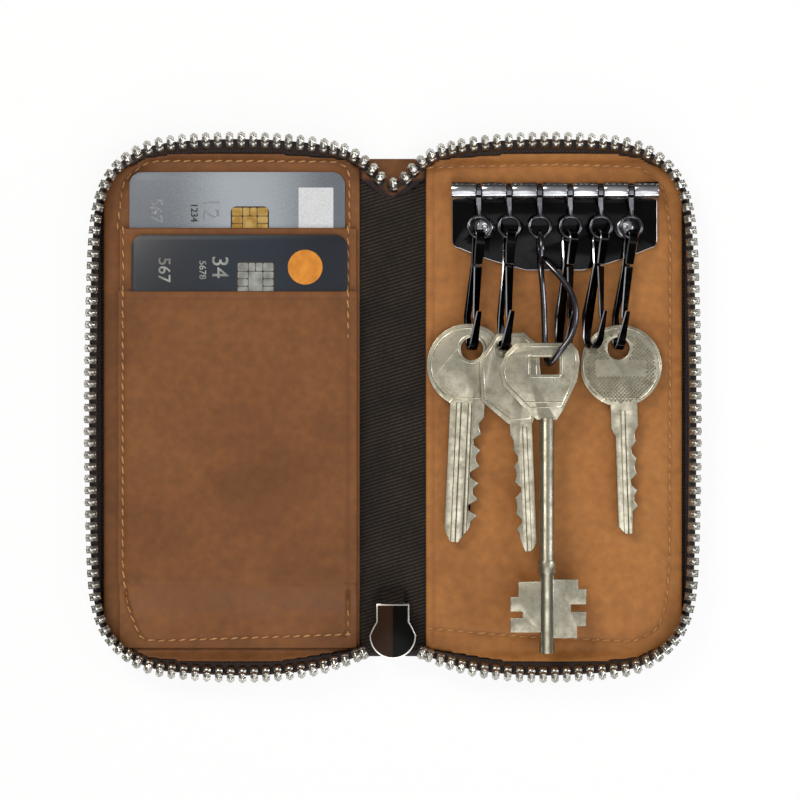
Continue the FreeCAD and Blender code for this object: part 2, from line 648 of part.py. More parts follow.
# ------------------------------------------------------------------------------------------------
# Clips: a flat strip bent to a top eye, a neck and a long hook, with a springy gate
# ------------------------------------------------------------------------------------------------
def strip(points, thickness, width):
    """A flat strip along a bent line of the local XY plane, its width along Z."""
    line = [Vector(x, y, -width / 2) for x, y in points]
    left, right = [], []
    for index, here in enumerate(line):
        before = line[index - 1] if index else None
        after = line[index + 1] if index + 1 < len(line) else None
        first = (here - before).normalize() if before is not None else (after - here).normalize()
        second = (after - here).normalize() if after is not None else first
        bisector = (first + second).normalize()
        normal = Vector(-bisector.y, bisector.x, 0)
        reach = thickness / 2 / max(0.5, bisector.dot(first))
        left.append(here + normal * reach)
        right.append(here - normal * reach)
    ring = left + right[::-1]
    face = Part.Face(Part.makePolygon(ring + ring[:1]))
    return face.extrude(Vector(0, 0, width))


def arc_points(x, y, radius, first, last, steps):
    """Points along an arc, in degrees."""
    angles = [math.radians(first + (last - first) * i / steps) for i in range(steps + 1)]
    return [(x + radius * math.cos(a), y + radius * math.sin(a)) for a in angles]


def clip_lines(half_bend):
    """Middle lines of a clip and of its gate; the pivot on the link is the origin, down is -Y."""
    length, neck, neck_at = size("clip_length"), size("clip_neck"), size("clip_neck_at")
    eye = size("clip_eye")
    eye_y = -eye + size("link_wire") + size("clip_play") + size("clip_strip") / 2
    bend = arc_points(0, half_bend - length, half_bend, 0, -180, 10)
    top = arc_points(0, eye_y, eye, 210, -30, 16)
    hook = ([(half_bend, 2.2 - size("gate_end"))] + bend + [(-half_bend, size("clip_straight") - length),
            (-neck, -neck_at)] + top + [(neck, 0.2 - neck_at)])
    gate = [(neck, -neck_at - size("gate_gap")),
            (half_bend - size("clip_strip") - size("gate_gap"), -size("gate_end"))]
    return hook, gate


class Hang:
    """Where one clip hangs: sideways reach and height of its bend, its turn and half the bend's width."""

    def __init__(self, reach, height, turn, half_bend):
        self.reach, self.height, self.turn, self.half_bend = reach, height, turn, half_bend

    def matrix(self, x):
        """The clip's own frame in the case: -Y runs down the clip and X across its bend."""
        pivot = Vector(x, pivot_y, pivot_z)
        drop = self.height - pivot_z
        length = size("clip_length")
        down = Vector(self.reach, -math.sqrt(length ** 2 - self.reach ** 2 - drop ** 2), drop).normalize()
        up = down * -1
        across = (Vector(1, 0, 0) - up * up.x).normalize()
        face = across.cross(up)
        turn = math.radians(self.turn)
        u = across * math.cos(turn) + face * math.sin(turn)
        w = face * math.cos(turn) - across * math.sin(turn)
        return FreeCAD.Matrix(u.x, up.x, w.x, pivot.x, u.y, up.y, w.y, pivot.y, u.z, up.z, w.z, pivot.z, 0, 0, 0, 1)

    def hole(self, x):
        """Middle of a key's hole: over the bend, level with the clip where it grips the key's rim."""
        bend = self.matrix(x).multiply(Vector(0, -size("clip_length"), 0))
        grip = self.matrix(x).multiply(Vector(0, 4.6 - size("clip_length"), 0))
        return Vector(bend.x, bend.y, grip.z)


flat_key = size("key_thickness")
low_key_z = panel_top + 2.2
mid_key_z = low_key_z + 3.35
big_key_z = mid_key_z + flat_key / 2 + size("big_key_thickness") / 2
HANGS = {1: Hang(-1.7, low_key_z, 80, 1.6), 2: Hang(-1.5, mid_key_z, 80, 1.6),
         4: Hang(-1.7, panel_top + 3.05, 68, 2.0), 5: Hang(-2.2, panel_top + 6.7, 68, 2.6), 6: Hang(-3.2, low_key_z, 80, 1.6)}
for index, hang in HANGS.items():
    hook_line, gate_line = clip_lines(hang.half_bend)
    matrix = hang.matrix(hook_x[index - 1])
    feature(f"clip_{index}", moved(strip(hook_line, size("clip_strip"), size("clip_width")), matrix))
    feature(f"gate_{index}", moved(strip(gate_line, size("clip_strip"), size("clip_width")), matrix))

# The third clip is a round wire, bent wide so that it takes the large key.
x3 = hook_x[2]
eye_r = size("clip_eye")
wide_route = [(x3 + 0.3, pivot_y - 5.2, pivot_z + 1.3), (x3 + 0.3, pivot_y - 1.4, pivot_z + eye_r),
              (x3, pivot_y + 1.1, pivot_z), (x3, pivot_y - 1.4, pivot_z - eye_r),
              (x3 + 0.2, pivot_y - 7.0, pivot_z - 0.4), (x3 + 0.9, bend_y + 11.5, big_key_z - 2.6),
              (x3 + 1.2, bend_y + 2.5, big_key_z - 2.2), (x3 + 1.5, bend_y - 1.4, big_key_z - 2.0),
              (x3 + 2.2, bend_y - 3.6, big_key_z + 0.1), (x3 + 4.2, bend_y - 1.3, big_key_z + 2.0),
              (x3 + 7.4, bend_y + 3.0, big_key_z + 2.1), (x3 + 8.7, bend_y + 8.5, big_key_z + 1.9),
              (x3 + 7.6, bend_y + 13.9, big_key_z + 1.4), (x3 + 4.4, pivot_y - 9.5, big_key_z + 0.4),
              (x3 + 1.5, pivot_y - 6.3, pivot_z + 2.2)]
route = Part.BSplineCurve()
route.interpolate([Vector(*p) for p in wide_route])
tip_frame = route.tangent(route.FirstParameter)[0]
wire_circle = Part.Wire(Part.Circle(route.value(route.FirstParameter), Vector(*tip_frame), 0.5).toShape())
wide_clip = Part.Wire(route.toShape()).makePipeShell([wire_circle], True, False)
feature("clip_3", wide_clip)


# ------------------------------------------------------------------------------------------------
# Keys: the middle of the hole is the origin, the blade runs along -Y
# ------------------------------------------------------------------------------------------------
def polygon(points, thickness):
    """A flat polygon, as thick above its plane as below."""
    corners = [Vector(x, y, -thickness / 2) for x, y in points]
    return Part.Face(Part.makePolygon(corners + corners[:1])).extrude(Vector(0, 0, thickness))


def bitting(x, y_start, cuts, pitch, side):
    """The cut edge of a blade: depths of the cuts, one pitch apart, going towards the tip."""
    points = []
    for index, depth in enumerate(cuts):
        y = y_start - index * pitch
        points += [(x, y) if not index else (x - side * 0.6, y),
                   (x - side * depth, y - 0.35 * pitch), (x - side * depth, y - 0.65 * pitch)]
    return points


def blade_grooves(x_positions, y_start, y_end, thickness):
    """Long grooves in both faces of a blade."""
    grooves = []
    for x, width in x_positions:
        for z in (thickness / 2 - 0.35, -thickness / 2 - 0.65):
            grooves.append(Part.makeBox(width, y_start - y_end, 1.0, Vector(x - width / 2, y_end, z)))
    return grooves


def hang_key(node, solid, hole, tilt):
    """Place a key on its clip: hole's middle and the tilt about the upright."""
    placed = solid.copy()
    placed.Placement = FreeCAD.Placement(hole, FreeCAD.Rotation(Vector(0, 0, 1), tilt))
    return feature(node, placed)


def upright_hole(radius):
    return Part.makeCylinder(radius, 6, Vector(0, 0, -3))


# key 1: round bow, cuts on the right
bow = Part.makeCylinder(10.4, flat_key, Vector(-0.7, -4.1, -flat_key / 2))
blade = polygon([(-4.9, -12)] + [(-4.9, -45.2), (-3.2, -48.4), (-1.2, -48.4)]
                + bitting(3.9, -17.0, (1.2, 2.4, 1.6, 2.9, 2.0, 3.0, 2.2), 4.1, 1)[::-1] + [(3.9, -12)], flat_key)
key = bow.fuse(blade).cut([upright_hole(2.8)] + blade_grooves([(-2.6, 1.2), (0.2, 0.9)], -13.5, -49, flat_key))
hang_key("key_1", key.removeSplitter(), HANGS[1].hole(hook_x[0]), -2.6)

# key 2: eight-sided bow, cuts on the left, behind the large key
octagon = polygon([(-6.2, -2.5), (-1.6, 3.9), (5.4, 3.9), (8.9, 0.4), (8.9, -11.5), (6.6, -18.7), (0.4, -18.7),
                   (-6.2, -12.6)], flat_key)
blade = polygon([(6.3, -18), (6.3, -48.6), (4.8, -50.6), (3.2, -50.6)]
                + bitting(0.7, -21.5, (0.8, 1.7, 1.2, 2.1, 1.0, 1.9, 1.4), 3.9, -1)[::-1] + [(0.7, -18)], flat_key)
key = octagon.fuse(blade).cut([upright_hole(2.2)] + blade_grooves([(4.4, 1.1)], -19.5, -51, flat_key))
hang_key("key_2", key.removeSplitter(), HANGS[2].hole(hook_x[1]), 2.4)

# key 4: knurled round bow, straight narrow blade
bow = Part.makeCylinder(10.2, flat_key, Vector(0.5, -4.3, -flat_key / 2))
blade = polygon([(-2.5, -12), (-2.5, -20), (-1.5, -22), (-1.5, -44.5), (0.4, -46.4), (2.2, -46.4)]
                + bitting(4.3, -19.5, (0.9, 1.8, 1.1, 2.2, 1.5, 2.0), 4.0, 1)[::-1] + [(4.3, -12)], flat_key)
key = bow.fuse(blade).cut([upright_hole(2.75)] + blade_grooves([(0.6, 1.1)], -15.5, -47, flat_key))
hang_key("key_4", key.removeSplitter(), HANGS[6].hole(hook_x[5]), 1.8)

# key 3: the large one, with a slotted bow, a round shaft and a stepped bit on both sides
big = size("big_key_thickness")
bow = polygon([(-7.3, 5.7), (6.7, 5.7), (8.2, 3.6), (8.6, 1.0), (7.9, -3.8), (4.4, -11.2), (3.0, -13.4),
               (-2.0, -13.4), (-4.6, -11.2), (-10.4, -5.0), (-11.2, -1.6), (-9.8, 3.0)], big)
slot = Part.makeBox(7.15, 4.35, 6, Vector(-3.6, -2.2, -3))
shaft_x = 0.5
shaft = Part.makeCylinder(size("big_key_shaft") / 2, 58.4, Vector(shaft_x, -13.0, 0), Vector(0, -1, 0))
collar = Part.makeCylinder(2.4, 3.1, Vector(shaft_x, -48.4, 0), Vector(0, -1, 0))
bit_right = polygon([(shaft_x, -53), (8.2, -53), (8.2, -55.4), (10.2, -55.4), (10.2, -59.2), (6.4, -59.2),
                     (6.4, -61.0), (10.2, -61.0), (10.2, -64.6), (8.0, -64.6), (8.0, -67.6), (shaft_x, -67.6)], big)
bit_left = polygon([(shaft_x, -53.6), (-6.6, -53.6), (-6.6, -57.4), (-8.6, -57.4), (-8.6, -61.0), (-5.6, -61.0),
                    (-5.6, -62.6), (-8.6, -62.6), (-8.6, -66.2), (shaft_x, -66.2)], big)
key = bow.cut(slot).fuse([shaft, collar, bit_right, bit_left])
hang_key("key_3", key.removeSplitter(), Vector(x3 + 1.1, bend_y - 4.1, big_key_z), 0)

# ------------------------------------------------------------------------------------------------
# Check every object, then write one file per sub-part
# ------------------------------------------------------------------------------------------------
doc.recompute()
for obj in doc.Objects:
    if {"Invalid", "Error"} & set(obj.State):
        raise RuntimeError(f"{obj.Label} could not be built: {obj.State}")
for obj in PARTS:
    if obj.Shape.isNull() or not obj.Shape.isValid():
        raise RuntimeError(f"{obj.Label} has no valid shape")
os.makedirs("parts", exist_ok=True)
for obj in PARTS:
    obj.Shape.exportStep(f"parts/{obj.Label}.step")
print(len(PARTS), "sub-parts written")
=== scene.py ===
"""Zip-around key and card wallet, lying open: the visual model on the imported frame.

Metres, in the frame's own axes: +X is the key half, -X the card half, +Y the end with the key rail and
+Z up out of the open wallet.  Sizes below are millimetres, turned into metres where a mesh is made.
"""
from __future__ import annotations

import json
import logging
import math
from dataclasses import dataclass, field
from enum import Enum
from typing import Callable, Iterable, Sequence

import bmesh
import bpy
import numpy as np
from mathutils import Matrix, Vector, noise
from mathutils.bvhtree import BVHTree

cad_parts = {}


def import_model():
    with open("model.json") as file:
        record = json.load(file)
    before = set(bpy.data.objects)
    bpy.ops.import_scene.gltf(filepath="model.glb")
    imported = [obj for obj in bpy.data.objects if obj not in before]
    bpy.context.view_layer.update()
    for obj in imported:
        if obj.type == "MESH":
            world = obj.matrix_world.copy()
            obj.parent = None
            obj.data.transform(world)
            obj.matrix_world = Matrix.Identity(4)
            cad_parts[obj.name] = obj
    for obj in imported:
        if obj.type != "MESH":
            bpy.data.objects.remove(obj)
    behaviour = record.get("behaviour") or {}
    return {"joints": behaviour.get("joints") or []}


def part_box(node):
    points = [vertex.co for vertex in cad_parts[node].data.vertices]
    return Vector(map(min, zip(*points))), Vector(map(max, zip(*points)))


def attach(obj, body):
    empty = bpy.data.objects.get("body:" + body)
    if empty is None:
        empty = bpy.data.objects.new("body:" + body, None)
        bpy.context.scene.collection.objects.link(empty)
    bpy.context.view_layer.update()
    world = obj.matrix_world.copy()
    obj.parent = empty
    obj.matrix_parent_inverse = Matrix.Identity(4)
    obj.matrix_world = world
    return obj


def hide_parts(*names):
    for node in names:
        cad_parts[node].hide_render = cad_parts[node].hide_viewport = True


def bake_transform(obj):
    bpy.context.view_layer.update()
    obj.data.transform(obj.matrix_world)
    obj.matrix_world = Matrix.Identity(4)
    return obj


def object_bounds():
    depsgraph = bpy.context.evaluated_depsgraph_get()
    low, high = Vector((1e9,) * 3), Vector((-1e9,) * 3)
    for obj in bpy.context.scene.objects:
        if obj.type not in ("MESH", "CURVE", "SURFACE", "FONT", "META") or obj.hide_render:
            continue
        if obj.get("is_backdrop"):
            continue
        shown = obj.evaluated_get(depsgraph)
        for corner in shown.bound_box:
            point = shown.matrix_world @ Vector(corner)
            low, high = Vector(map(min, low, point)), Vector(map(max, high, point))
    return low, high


LOG = logging.getLogger("wallet")
MM = 0.001
UP, ALONG_X = Vector((0, 0, 1)), Vector((1, 0, 0))

Point2 = tuple[float, float]
Piece = bpy.types.Object
Material = bpy.types.Material
Socket = bpy.types.NodeSocket
Tree = bpy.types.NodeTree


class Half(Enum):
    """The two leaves of the wallet; the value is the sign of X."""

    KEYS = 1
    CARDS = -1

    @property
    def body(self) -> str:
        """The frame's body that this leaf rides on."""
        return "right_half" if self is Half.KEYS else "left_half"

    @property
    def side(self) -> str:
        """The word that this leaf's nodes end in."""
        return "right" if self is Half.KEYS else "left"


# ---------------------------------------------------------------------------------------------------
# Colours and node trees
# ---------------------------------------------------------------------------------------------------
def linear(hex_colour: str) -> tuple[float, float, float, float]:
    """Turn an sRGB colour such as "#a06a3a" into the linear colour that a shader takes."""
    channels = [int(hex_colour[i:i + 2], 16) / 255 for i in (1, 3, 5)]
    return (*(c / 12.92 if c <= 0.04045 else ((c + 0.055) / 1.055) ** 2.4 for c in channels), 1.0)


def add(tree: Tree, kind: str, inputs: dict | None = None, stops: Sequence[tuple[float, str]] = (),
        **settings: object) -> bpy.types.Node:
    """Add a node with its settings and links.

    Args:
        tree: The tree that takes the node.
        kind: The node's type name.
        inputs: Values or sockets by input name or number.
        stops: Places and colours of a colour ramp's stops.
        settings: Properties of the node.

    Returns:
        The new node.
    """
    node = tree.nodes.new(kind)
    for name, value in settings.items():
        setattr(node, name, value)
    for name, value in (inputs or {}).items():
        if isinstance(value, Socket):
            tree.links.new(value, node.inputs[name])
        else:
            node.inputs[name].default_value = value
    for index, (place, colour) in enumerate(stops):
        stop = node.color_ramp.elements[index] if index < 2 else node.color_ramp.elements.new(place)
        stop.position, stop.color = place, linear(colour)
    return node


def empty_tree(owner: Material | bpy.types.World) -> Tree:
    """A material's or world's node tree without its first nodes."""
    owner.use_nodes = True
    owner.node_tree.nodes.clear()
    return owner.node_tree


def speckle(tree: Tree, place: Socket, size_mm: float, detail: float = 3.0, **more: float) -> bpy.types.Node:
    """Noise with grains of a size in millimetres; more inputs by name."""
    return add(tree, "ShaderNodeTexNoise",
               {"Vector": place, "Scale": 1 / (size_mm * MM), "Detail": detail, **more})


def ramp(tree: Tree, value: Socket, *stops: tuple[float, str]) -> Socket:
    """Colours by value."""
    return add(tree, "ShaderNodeValToRGB", {"Fac": value}, stops).outputs[0]


def remap(tree: Tree, value: Socket, source: Point2, target: Point2 = (0.0, 1.0), **settings: str) -> Socket:
    """Stretch one range of a value over another."""
    return add(tree, "ShaderNodeMapRange", {0: value, 1: source[0], 2: source[1], 3: target[0], 4: target[1]},
               **settings).outputs[0]


def compute(tree: Tree, operation: str, *values: Socket | float, **settings: bool) -> Socket:
    """One sum on numbers."""
    return add(tree, "ShaderNodeMath", dict(enumerate(values)), operation=operation, **settings).outputs[0]


def mix(tree: Tree, share: Socket | float, first: Socket | tuple, second: Socket | tuple,
        blend: str = "MIX") -> Socket:
    """Two colours by share."""
    return add(tree, "ShaderNodeMix", {0: share, 6: first, 7: second}, data_type="RGBA",
               blend_type=blend).outputs[2]


def painted(tree: Tree, name: str) -> Socket:
    """A number that the mesh stores at its corners."""
    return add(tree, "ShaderNodeAttribute", attribute_name=name).outputs["Fac"]


def relief(tree: Tree, height: Socket, strength: float, depth_mm: float, normal: Socket | None = None,
           invert: bool = False) -> Socket:
    """Bump from a height, on top of another one where a normal is given."""
    inputs = {"Height": height, "Strength": strength, "Distance": depth_mm * MM}
    if normal is not None:
        inputs["Normal"] = normal
    return add(tree, "ShaderNodeBump", inputs, invert=invert).outputs[0]


class Finish:
    """One finish of the wallet; a subclass says what goes into its Principled shader."""

    name: str

    def inputs(self, tree: Tree, place: Socket) -> dict:
        """Build the finish.

        Args:
            tree: The material's empty tree.
            place: The piece's own coordinates, in metres.

        Returns:
            The shader's inputs by name.
        """
        raise NotImplementedError

    def material(self) -> Material:
        """Build the material."""
        material = bpy.data.materials.new(self.name)
        tree = empty_tree(material)
        place = add(tree, "ShaderNodeTexCoord").outputs["Object"]
        shader = add(tree, "ShaderNodeBsdfPrincipled", self.inputs(tree, place))
        add(tree, "ShaderNodeOutputMaterial", {"Surface": shader.outputs[0]})
        return material


@dataclass(frozen=True)
class PullUpLeather(Finish):
    """Oiled pull-up cowhide: waxy, cloudy, paler where it has been bent, with fine pebbled grain."""

    name: str
    deep: str
    middle: str
    pale: str
    cloud_mm: float = 17.0
    binding: str = "#33272a"
    roughness: float = 0.48
    mottle_mm: float = 2.2
    grain_mm: float = 0.75
    pore_mm: float = 0.4
    crease_mm: float = 12.0
    patch_mm: float = 24.0

    def inputs(self, tree: Tree, place: Socket) -> dict:
        """Build the leather."""
        cloud = speckle(tree, place, self.cloud_mm, 4.0, Roughness=0.62, Distortion=0.6)
        base = ramp(tree, cloud.outputs[0], (0.18, self.deep), (0.86, self.pale), (0.5, self.middle))
        mottle = speckle(tree, place, self.mottle_mm, 5.0).outputs[0]
        tinted = mix(tree, 1.0, base, remap(tree, mottle, (0.3, 0.7), (0.86, 1.12)), "MULTIPLY")
        # Thin creases where the hide has been folded: the wax parts there and looks paler.
        bent = add(tree, "ShaderNodeVectorMath",
                   {0: place, 1: cloud.outputs["Color"], 2: (0.006, 0.006, 0.0)}, operation="MULTIPLY_ADD")
        cells = {"Vector": bent.outputs[0], "Scale": 1 / (self.crease_mm * MM)}
        crease = add(tree, "ShaderNodeTexVoronoi", cells, feature="DISTANCE_TO_EDGE")
        line = remap(tree, crease.outputs["Distance"], (0.0, 0.022), (1.0, 0.0))
        patch = speckle(tree, place, self.patch_mm, 2.0).outputs[0]
        faint = compute(tree, "MULTIPLY", line, remap(tree, patch, (0.52, 0.66), (0.0, 0.32)))
        worn = mix(tree, faint, tinted, linear(self.pale))
        # The mesh paints the dark thread holes, the burnished edges and the zip's binding.
        burnt = mix(tree, painted(tree, "burnish"), worn, linear(self.deep))
        bound = mix(tree, painted(tree, "binding"), burnt, linear(self.binding))
        pebble = add(tree, "ShaderNodeTexVoronoi", {"Vector": place, "Scale": 1 / (self.grain_mm * MM)},
                     feature="SMOOTH_F1")
        low = relief(tree, pebble.outputs["Distance"], 0.22, 0.12, invert=True)
        pores = relief(tree, speckle(tree, place, self.pore_mm).outputs[0], 0.25, 0.06, low)
        return {"Base Color": bound,
                "Roughness": remap(tree, mottle, (0.3, 0.7), (self.roughness - 0.07, self.roughness + 0.1)),
                "Normal": relief(tree, faint, 0.6, 0.12, pores, invert=True), "Specular IOR Level": 0.28}


@dataclass(frozen=True)
class RibbedTwill(Finish):
    """Polyester lining twill: charcoal, with fine ribs that rise to the right and a slight sheen."""

    name: str = "lining_twill"
    valley: str = "#16110d"
    crest: str = "#41362d"
    rib_mm: float = 0.85
    rise_deg: float = 17.0
    thread_mm: float = 0.5
    fold_mm: float = 11.0

    def inputs(self, tree: Tree, place: Socket) -> dict:
        """Build the cloth."""
        turned = add(tree, "ShaderNodeMapping",
                     {"Vector": place, "Rotation": (0, 0, -math.radians(self.rise_deg))}).outputs[0]
        ribs = add(tree, "ShaderNodeTexWave", {"Vector": turned, "Scale": math.pi / 10 / (self.rib_mm * MM),
                                               "Distortion": 0.25, "Detail": 1.0, "Detail Scale": 2.0},
                   wave_type="BANDS", bands_direction="Y")
        threads = speckle(tree, turned, self.thread_mm).outputs[0]
        weave = compute(tree, "MULTIPLY", ribs.outputs["Fac"], threads)
        colour = ramp(tree, weave, (0.08, self.valley), (0.62, self.crest))
        tone = remap(tree, speckle(tree, place, self.fold_mm, 2.0).outputs[0], (0.35, 0.65), (0.72, 1.15))
        return {"Base Color": mix(tree, 1.0, colour, tone, "MULTIPLY"), "Roughness": 0.7,
                "Normal": relief(tree, weave, 0.7, 0.15), "Specular IOR Level": 0.2, "Sheen Weight": 0.08,
                "Sheen Roughness": 0.4}


@dataclass(frozen=True)
class WovenTape(Finish):
    """Woven polyester zip tape: brown-black herringbone, matt, on the tape's own UV map in metres."""

    name: str = "zip_tape_weave"
    valley: str = "#171010"
    crest: str = "#43342f"
    rib_mm: float = 1.0
    turn_mm: float = 1.2
    fibre_mm: float = 0.45

    def inputs(self, tree: Tree, place: Socket) -> dict:
        """Build the weave, whose slant turns over again and again across the tape."""
        place = add(tree, "ShaderNodeUVMap", uv_map="tape").outputs[0]
        parts = add(tree, "ShaderNodeSeparateXYZ", {0: place})
        fold = compute(tree, "PINGPONG", parts.outputs[1], self.turn_mm * MM)
        slant = compute(tree, "ADD", fold, parts.outputs[0])
        ribs = compute(tree, "SINE", compute(tree, "MULTIPLY", slant, 2 * math.pi / (self.rib_mm * MM)))
        fibre = speckle(tree, place, self.fibre_mm).outputs[0]
        height = compute(tree, "MULTIPLY_ADD", ribs, 0.28, fibre)
        return {"Base Color": ramp(tree, height, (0.25, self.valley), (0.85, self.crest)), "Roughness": 0.78,
                "Normal": relief(tree, height, 0.8, 0.16), "Sheen Weight": 0.15}


@dataclass(frozen=True)
class WornMetal(Finish):
    """Plated or plain metal: polished or tumbled, with stains and hair scratches of its own scale."""

    name: str
    dark: str
    light: str
    roughness: float
    stain_mm: float
    scratch_mm: float
    patina: str = ""
    hair_mm: float = 0.22

    def inputs(self, tree: Tree, place: Socket) -> dict:
        """Build the metal."""
        stain = speckle(tree, place, self.stain_mm, 6.0, Roughness=0.65).outputs[0]
        tint = ramp(tree, stain, (0.36, self.dark), (0.62, self.light))
        # Where the mesh paints it the metal darkens: patina, and on the zip's teeth also painted shade.
        if self.patina:
            tint = mix(tree, painted(tree, "patina"), tint, linear(self.patina))
        drawn = add(tree, "ShaderNodeMapping",
                    {"Vector": place, "Rotation": (0, 0, 0.5), "Scale": (1, 0.06, 1)})
        hair = speckle(tree, drawn.outputs[0], self.hair_mm).outputs[0]
        gloss = (self.roughness + 0.1, max(0.04, self.roughness - 0.05))
        return {"Base Color": tint, "Metallic": 1.0, "Roughness": remap(tree, stain, (0.35, 0.65), gloss),
                "Normal": relief(tree, hair, 0.35, self.scratch_mm)}


@dataclass(frozen=True)
class MirrorPlate(Finish):
    """Polished black nickel of the slider's face with a painted reflection: a brown left half that stands for
    the leather beside it mirrored in the plate, and a near-black right half; the two tones meet at the ridge
    on the middle line.
    """

    name: str = "slider_mirror"
    # Painted reflection: brown tones where the leather would mirror in the plate, near black on the other
    # half.
    left: tuple[str, str] = ("#2a190f", "#3a2417")
    right: str = "#060504"
    ridge_mm: float = 0.1
    streak_mm: float = 0.6

    def inputs(self, tree: Tree, place: Socket) -> dict:
        """Build the plate, with the reflection of the leather beside it painted in brown on its left half."""
        across = add(tree, "ShaderNodeSeparateXYZ", {0: place}).outputs[0]
        side = remap(tree, across, (-self.ridge_mm * MM, self.ridge_mm * MM))
        streak = add(tree, "ShaderNodeMapping", {"Vector": place, "Scale": (1, 0.05, 1)})
        brushed = speckle(tree, streak.outputs[0], self.streak_mm, 2.0).outputs[0]
        # Painted reflection of the leather, streaked like brushed metal.
        painted_leather_reflection = mix(tree, brushed, linear(self.left[0]), linear(self.left[1]))
        return {"Base Color": mix(tree, side, painted_leather_reflection, linear(self.right)), "Roughness": 0.25,
                "Specular IOR Level": 0.1}


@dataclass(frozen=True)
class CardPlastic(Finish):
    """Laminated PVC card: satin, with a soft band of lighter ink and very fine metallic speckle."""

    name: str
    edge_tone: str
    band_tone: str
    roughness: float = 0.34
    band_middle_mm: float = -36.0
    band_width_mm: float = 24.0
    speck_mm: float = 0.5

    def inputs(self, tree: Tree, place: Socket) -> dict:
        """Build the laminate."""
        across = add(tree, "ShaderNodeSeparateXYZ", {0: place}).outputs[0]
        far = compute(tree, "ABSOLUTE", compute(tree, "SUBTRACT", across, self.band_middle_mm * MM))
        band = remap(tree, far, (0.0, self.band_width_mm * MM), (1.0, 0.0), interpolation_type="SMOOTHERSTEP")
        speck = speckle(tree, place, self.speck_mm, 2.0).outputs[0]
        share = compute(tree, "ADD", band, remap(tree, speck, (0.3, 0.7), (-0.12, 0.12)), use_clamp=True)
        return {"Base Color": mix(tree, share, linear(self.edge_tone), linear(self.band_tone)),
                "Roughness": self.roughness, "Metallic": 0.15, "Coat Weight": 0.3, "Coat Roughness": 0.15}


@dataclass(frozen=True)
class Ink(Finish):
    """Printed ink, foil or waxed thread: one hue with a little noise in it and no gloss of its own."""

    name: str
    dark: str
    light: str
    roughness: float = 0.5
    metallic: float = 0.0
    speck_mm: float = 0.5

    def inputs(self, tree: Tree, place: Socket) -> dict:
        """Build the finish."""
        speck = speckle(tree, place, self.speck_mm).outputs[0]
        return {"Base Color": ramp(tree, speck, (0.35, self.dark), (0.65, self.light)),
                "Roughness": self.roughness, "Metallic": self.metallic,
                "Normal": relief(tree, speck, 0.2, 0.03)}


class Palette:
    """Every finish of the wallet, built once."""

    def __init__(self) -> None:
        """Build the materials."""
        self.outer = PullUpLeather("outer_leather", "#6b4224", "#87562f", "#97632f").material()
        self.panel = PullUpLeather("panel_leather", "#8d572d", "#b4763d", "#bf8248", 26.0).material()
        self.pocket = PullUpLeather("pocket_leather", "#6a4122", "#84532c", "#8f5f35", 24.0).material()
        self.lining = RibbedTwill().material()
        self.tape = WovenTape().material()
        self.teeth = WornMetal("antique_nickel", "#c9c5ba", "#f2efe6", 0.28, 6.0, 0.0, "#1b1815").material()
        self.thread = Ink("waxed_thread", "#b1743c", "#dcab6b", 0.6).material()
        self.hooks = WornMetal("black_nickel", "#171718", "#1f1f20", 0.12, 8.0, 0.002).material()
        # A lighter copy of black nickel. On the rounded edges of hooks, gates and rail plate, and on the
        # rail's knuckles, it is a painted highlight. The slider, pull tab, rivets and large card digits are
        # made of it whole.
        self.bright = WornMetal("bright_black_nickel", "#a3a3a7", "#dadade", 0.12, 8.0, 0.002).material()
        self.wire = WornMetal("wire_black_nickel", "#505054", "#77777c", 0.14, 8.0, 0.002).material()
        self.mirror = MirrorPlate().material()
        self.key = WornMetal("nickel_silver", "#9f9883", "#cdc7b3", 0.31, 2.8, 0.03).material()
        self.grey_card = CardPlastic("silver_card", "#757b83", "#b0b8bf").material()
        self.dark_card = CardPlastic("slate_card", "#1b2029", "#262f3a").material()
        self.gold = Ink("chip_gold", "#b98a3f", "#e3bd72", 0.3, 0.8, 3.0).material()
        self.chip = Ink("chip_nickel", "#8f9088", "#c2c3bb", 0.3, 0.8, 3.0).material()
        self.white = Ink("label_white", "#d9dbdd", "#ecedee", 0.4).material()
        self.amber = Ink("patch_amber", "#d9831c", "#f09a2c", 0.4, 0.0, 2.0).material()
        self.seam = Ink("chip_seam", "#2a2119", "#3a3026", 0.6).material()


# ---------------------------------------------------------------------------------------------------
# Meshes
# ---------------------------------------------------------------------------------------------------
def link(name: str, mesh: bpy.types.Mesh) -> Piece:
    """Put a mesh into the scene as an object at the origin."""
    piece = bpy.data.objects.new(name, mesh)
    bpy.context.scene.collection.objects.link(piece)
    return piece


def link_work(name: str, work: bmesh.types.BMesh) -> Piece:
    """Put a finished BMesh into the scene and let go of it."""
    mesh = bpy.data.meshes.new(name)
    work.to_mesh(mesh)
    work.free()
    return link(name, mesh)


def link_curve(name: str, curve: bpy.types.Curve, place: Matrix = Matrix.Identity(4)) -> Piece:
    """Put a curve or text into the scene as a plain mesh, moved to its place."""
    work = bpy.data.objects.new(name, curve)
    bpy.context.scene.collection.objects.link(work)
    mesh = bpy.data.meshes.new_from_object(work.evaluated_get(bpy.context.evaluated_depsgraph_get()))
    bpy.data.objects.remove(work)
    mesh.transform(place)
    return link(name, mesh)


def dress(piece: Piece, finish: Material | None, crease_deg: float | None = 32.0) -> Piece:
    """Give a piece one finish and smooth shading with sharp edges kept.

    Args:
        piece: The piece.
        finish: Its material; None keeps what it has.
        crease_deg: Edges sharper than this stay sharp; None keeps none.

    Returns:
        The same piece.
    """
    if finish is not None:
        piece.data.materials.clear()
        piece.data.materials.append(finish)
    piece.data.polygons.foreach_set("use_smooth", [True] * len(piece.data.polygons))
    if crease_deg is not None:
        piece.data.set_sharp_from_angle(angle=math.radians(crease_deg))
    return piece


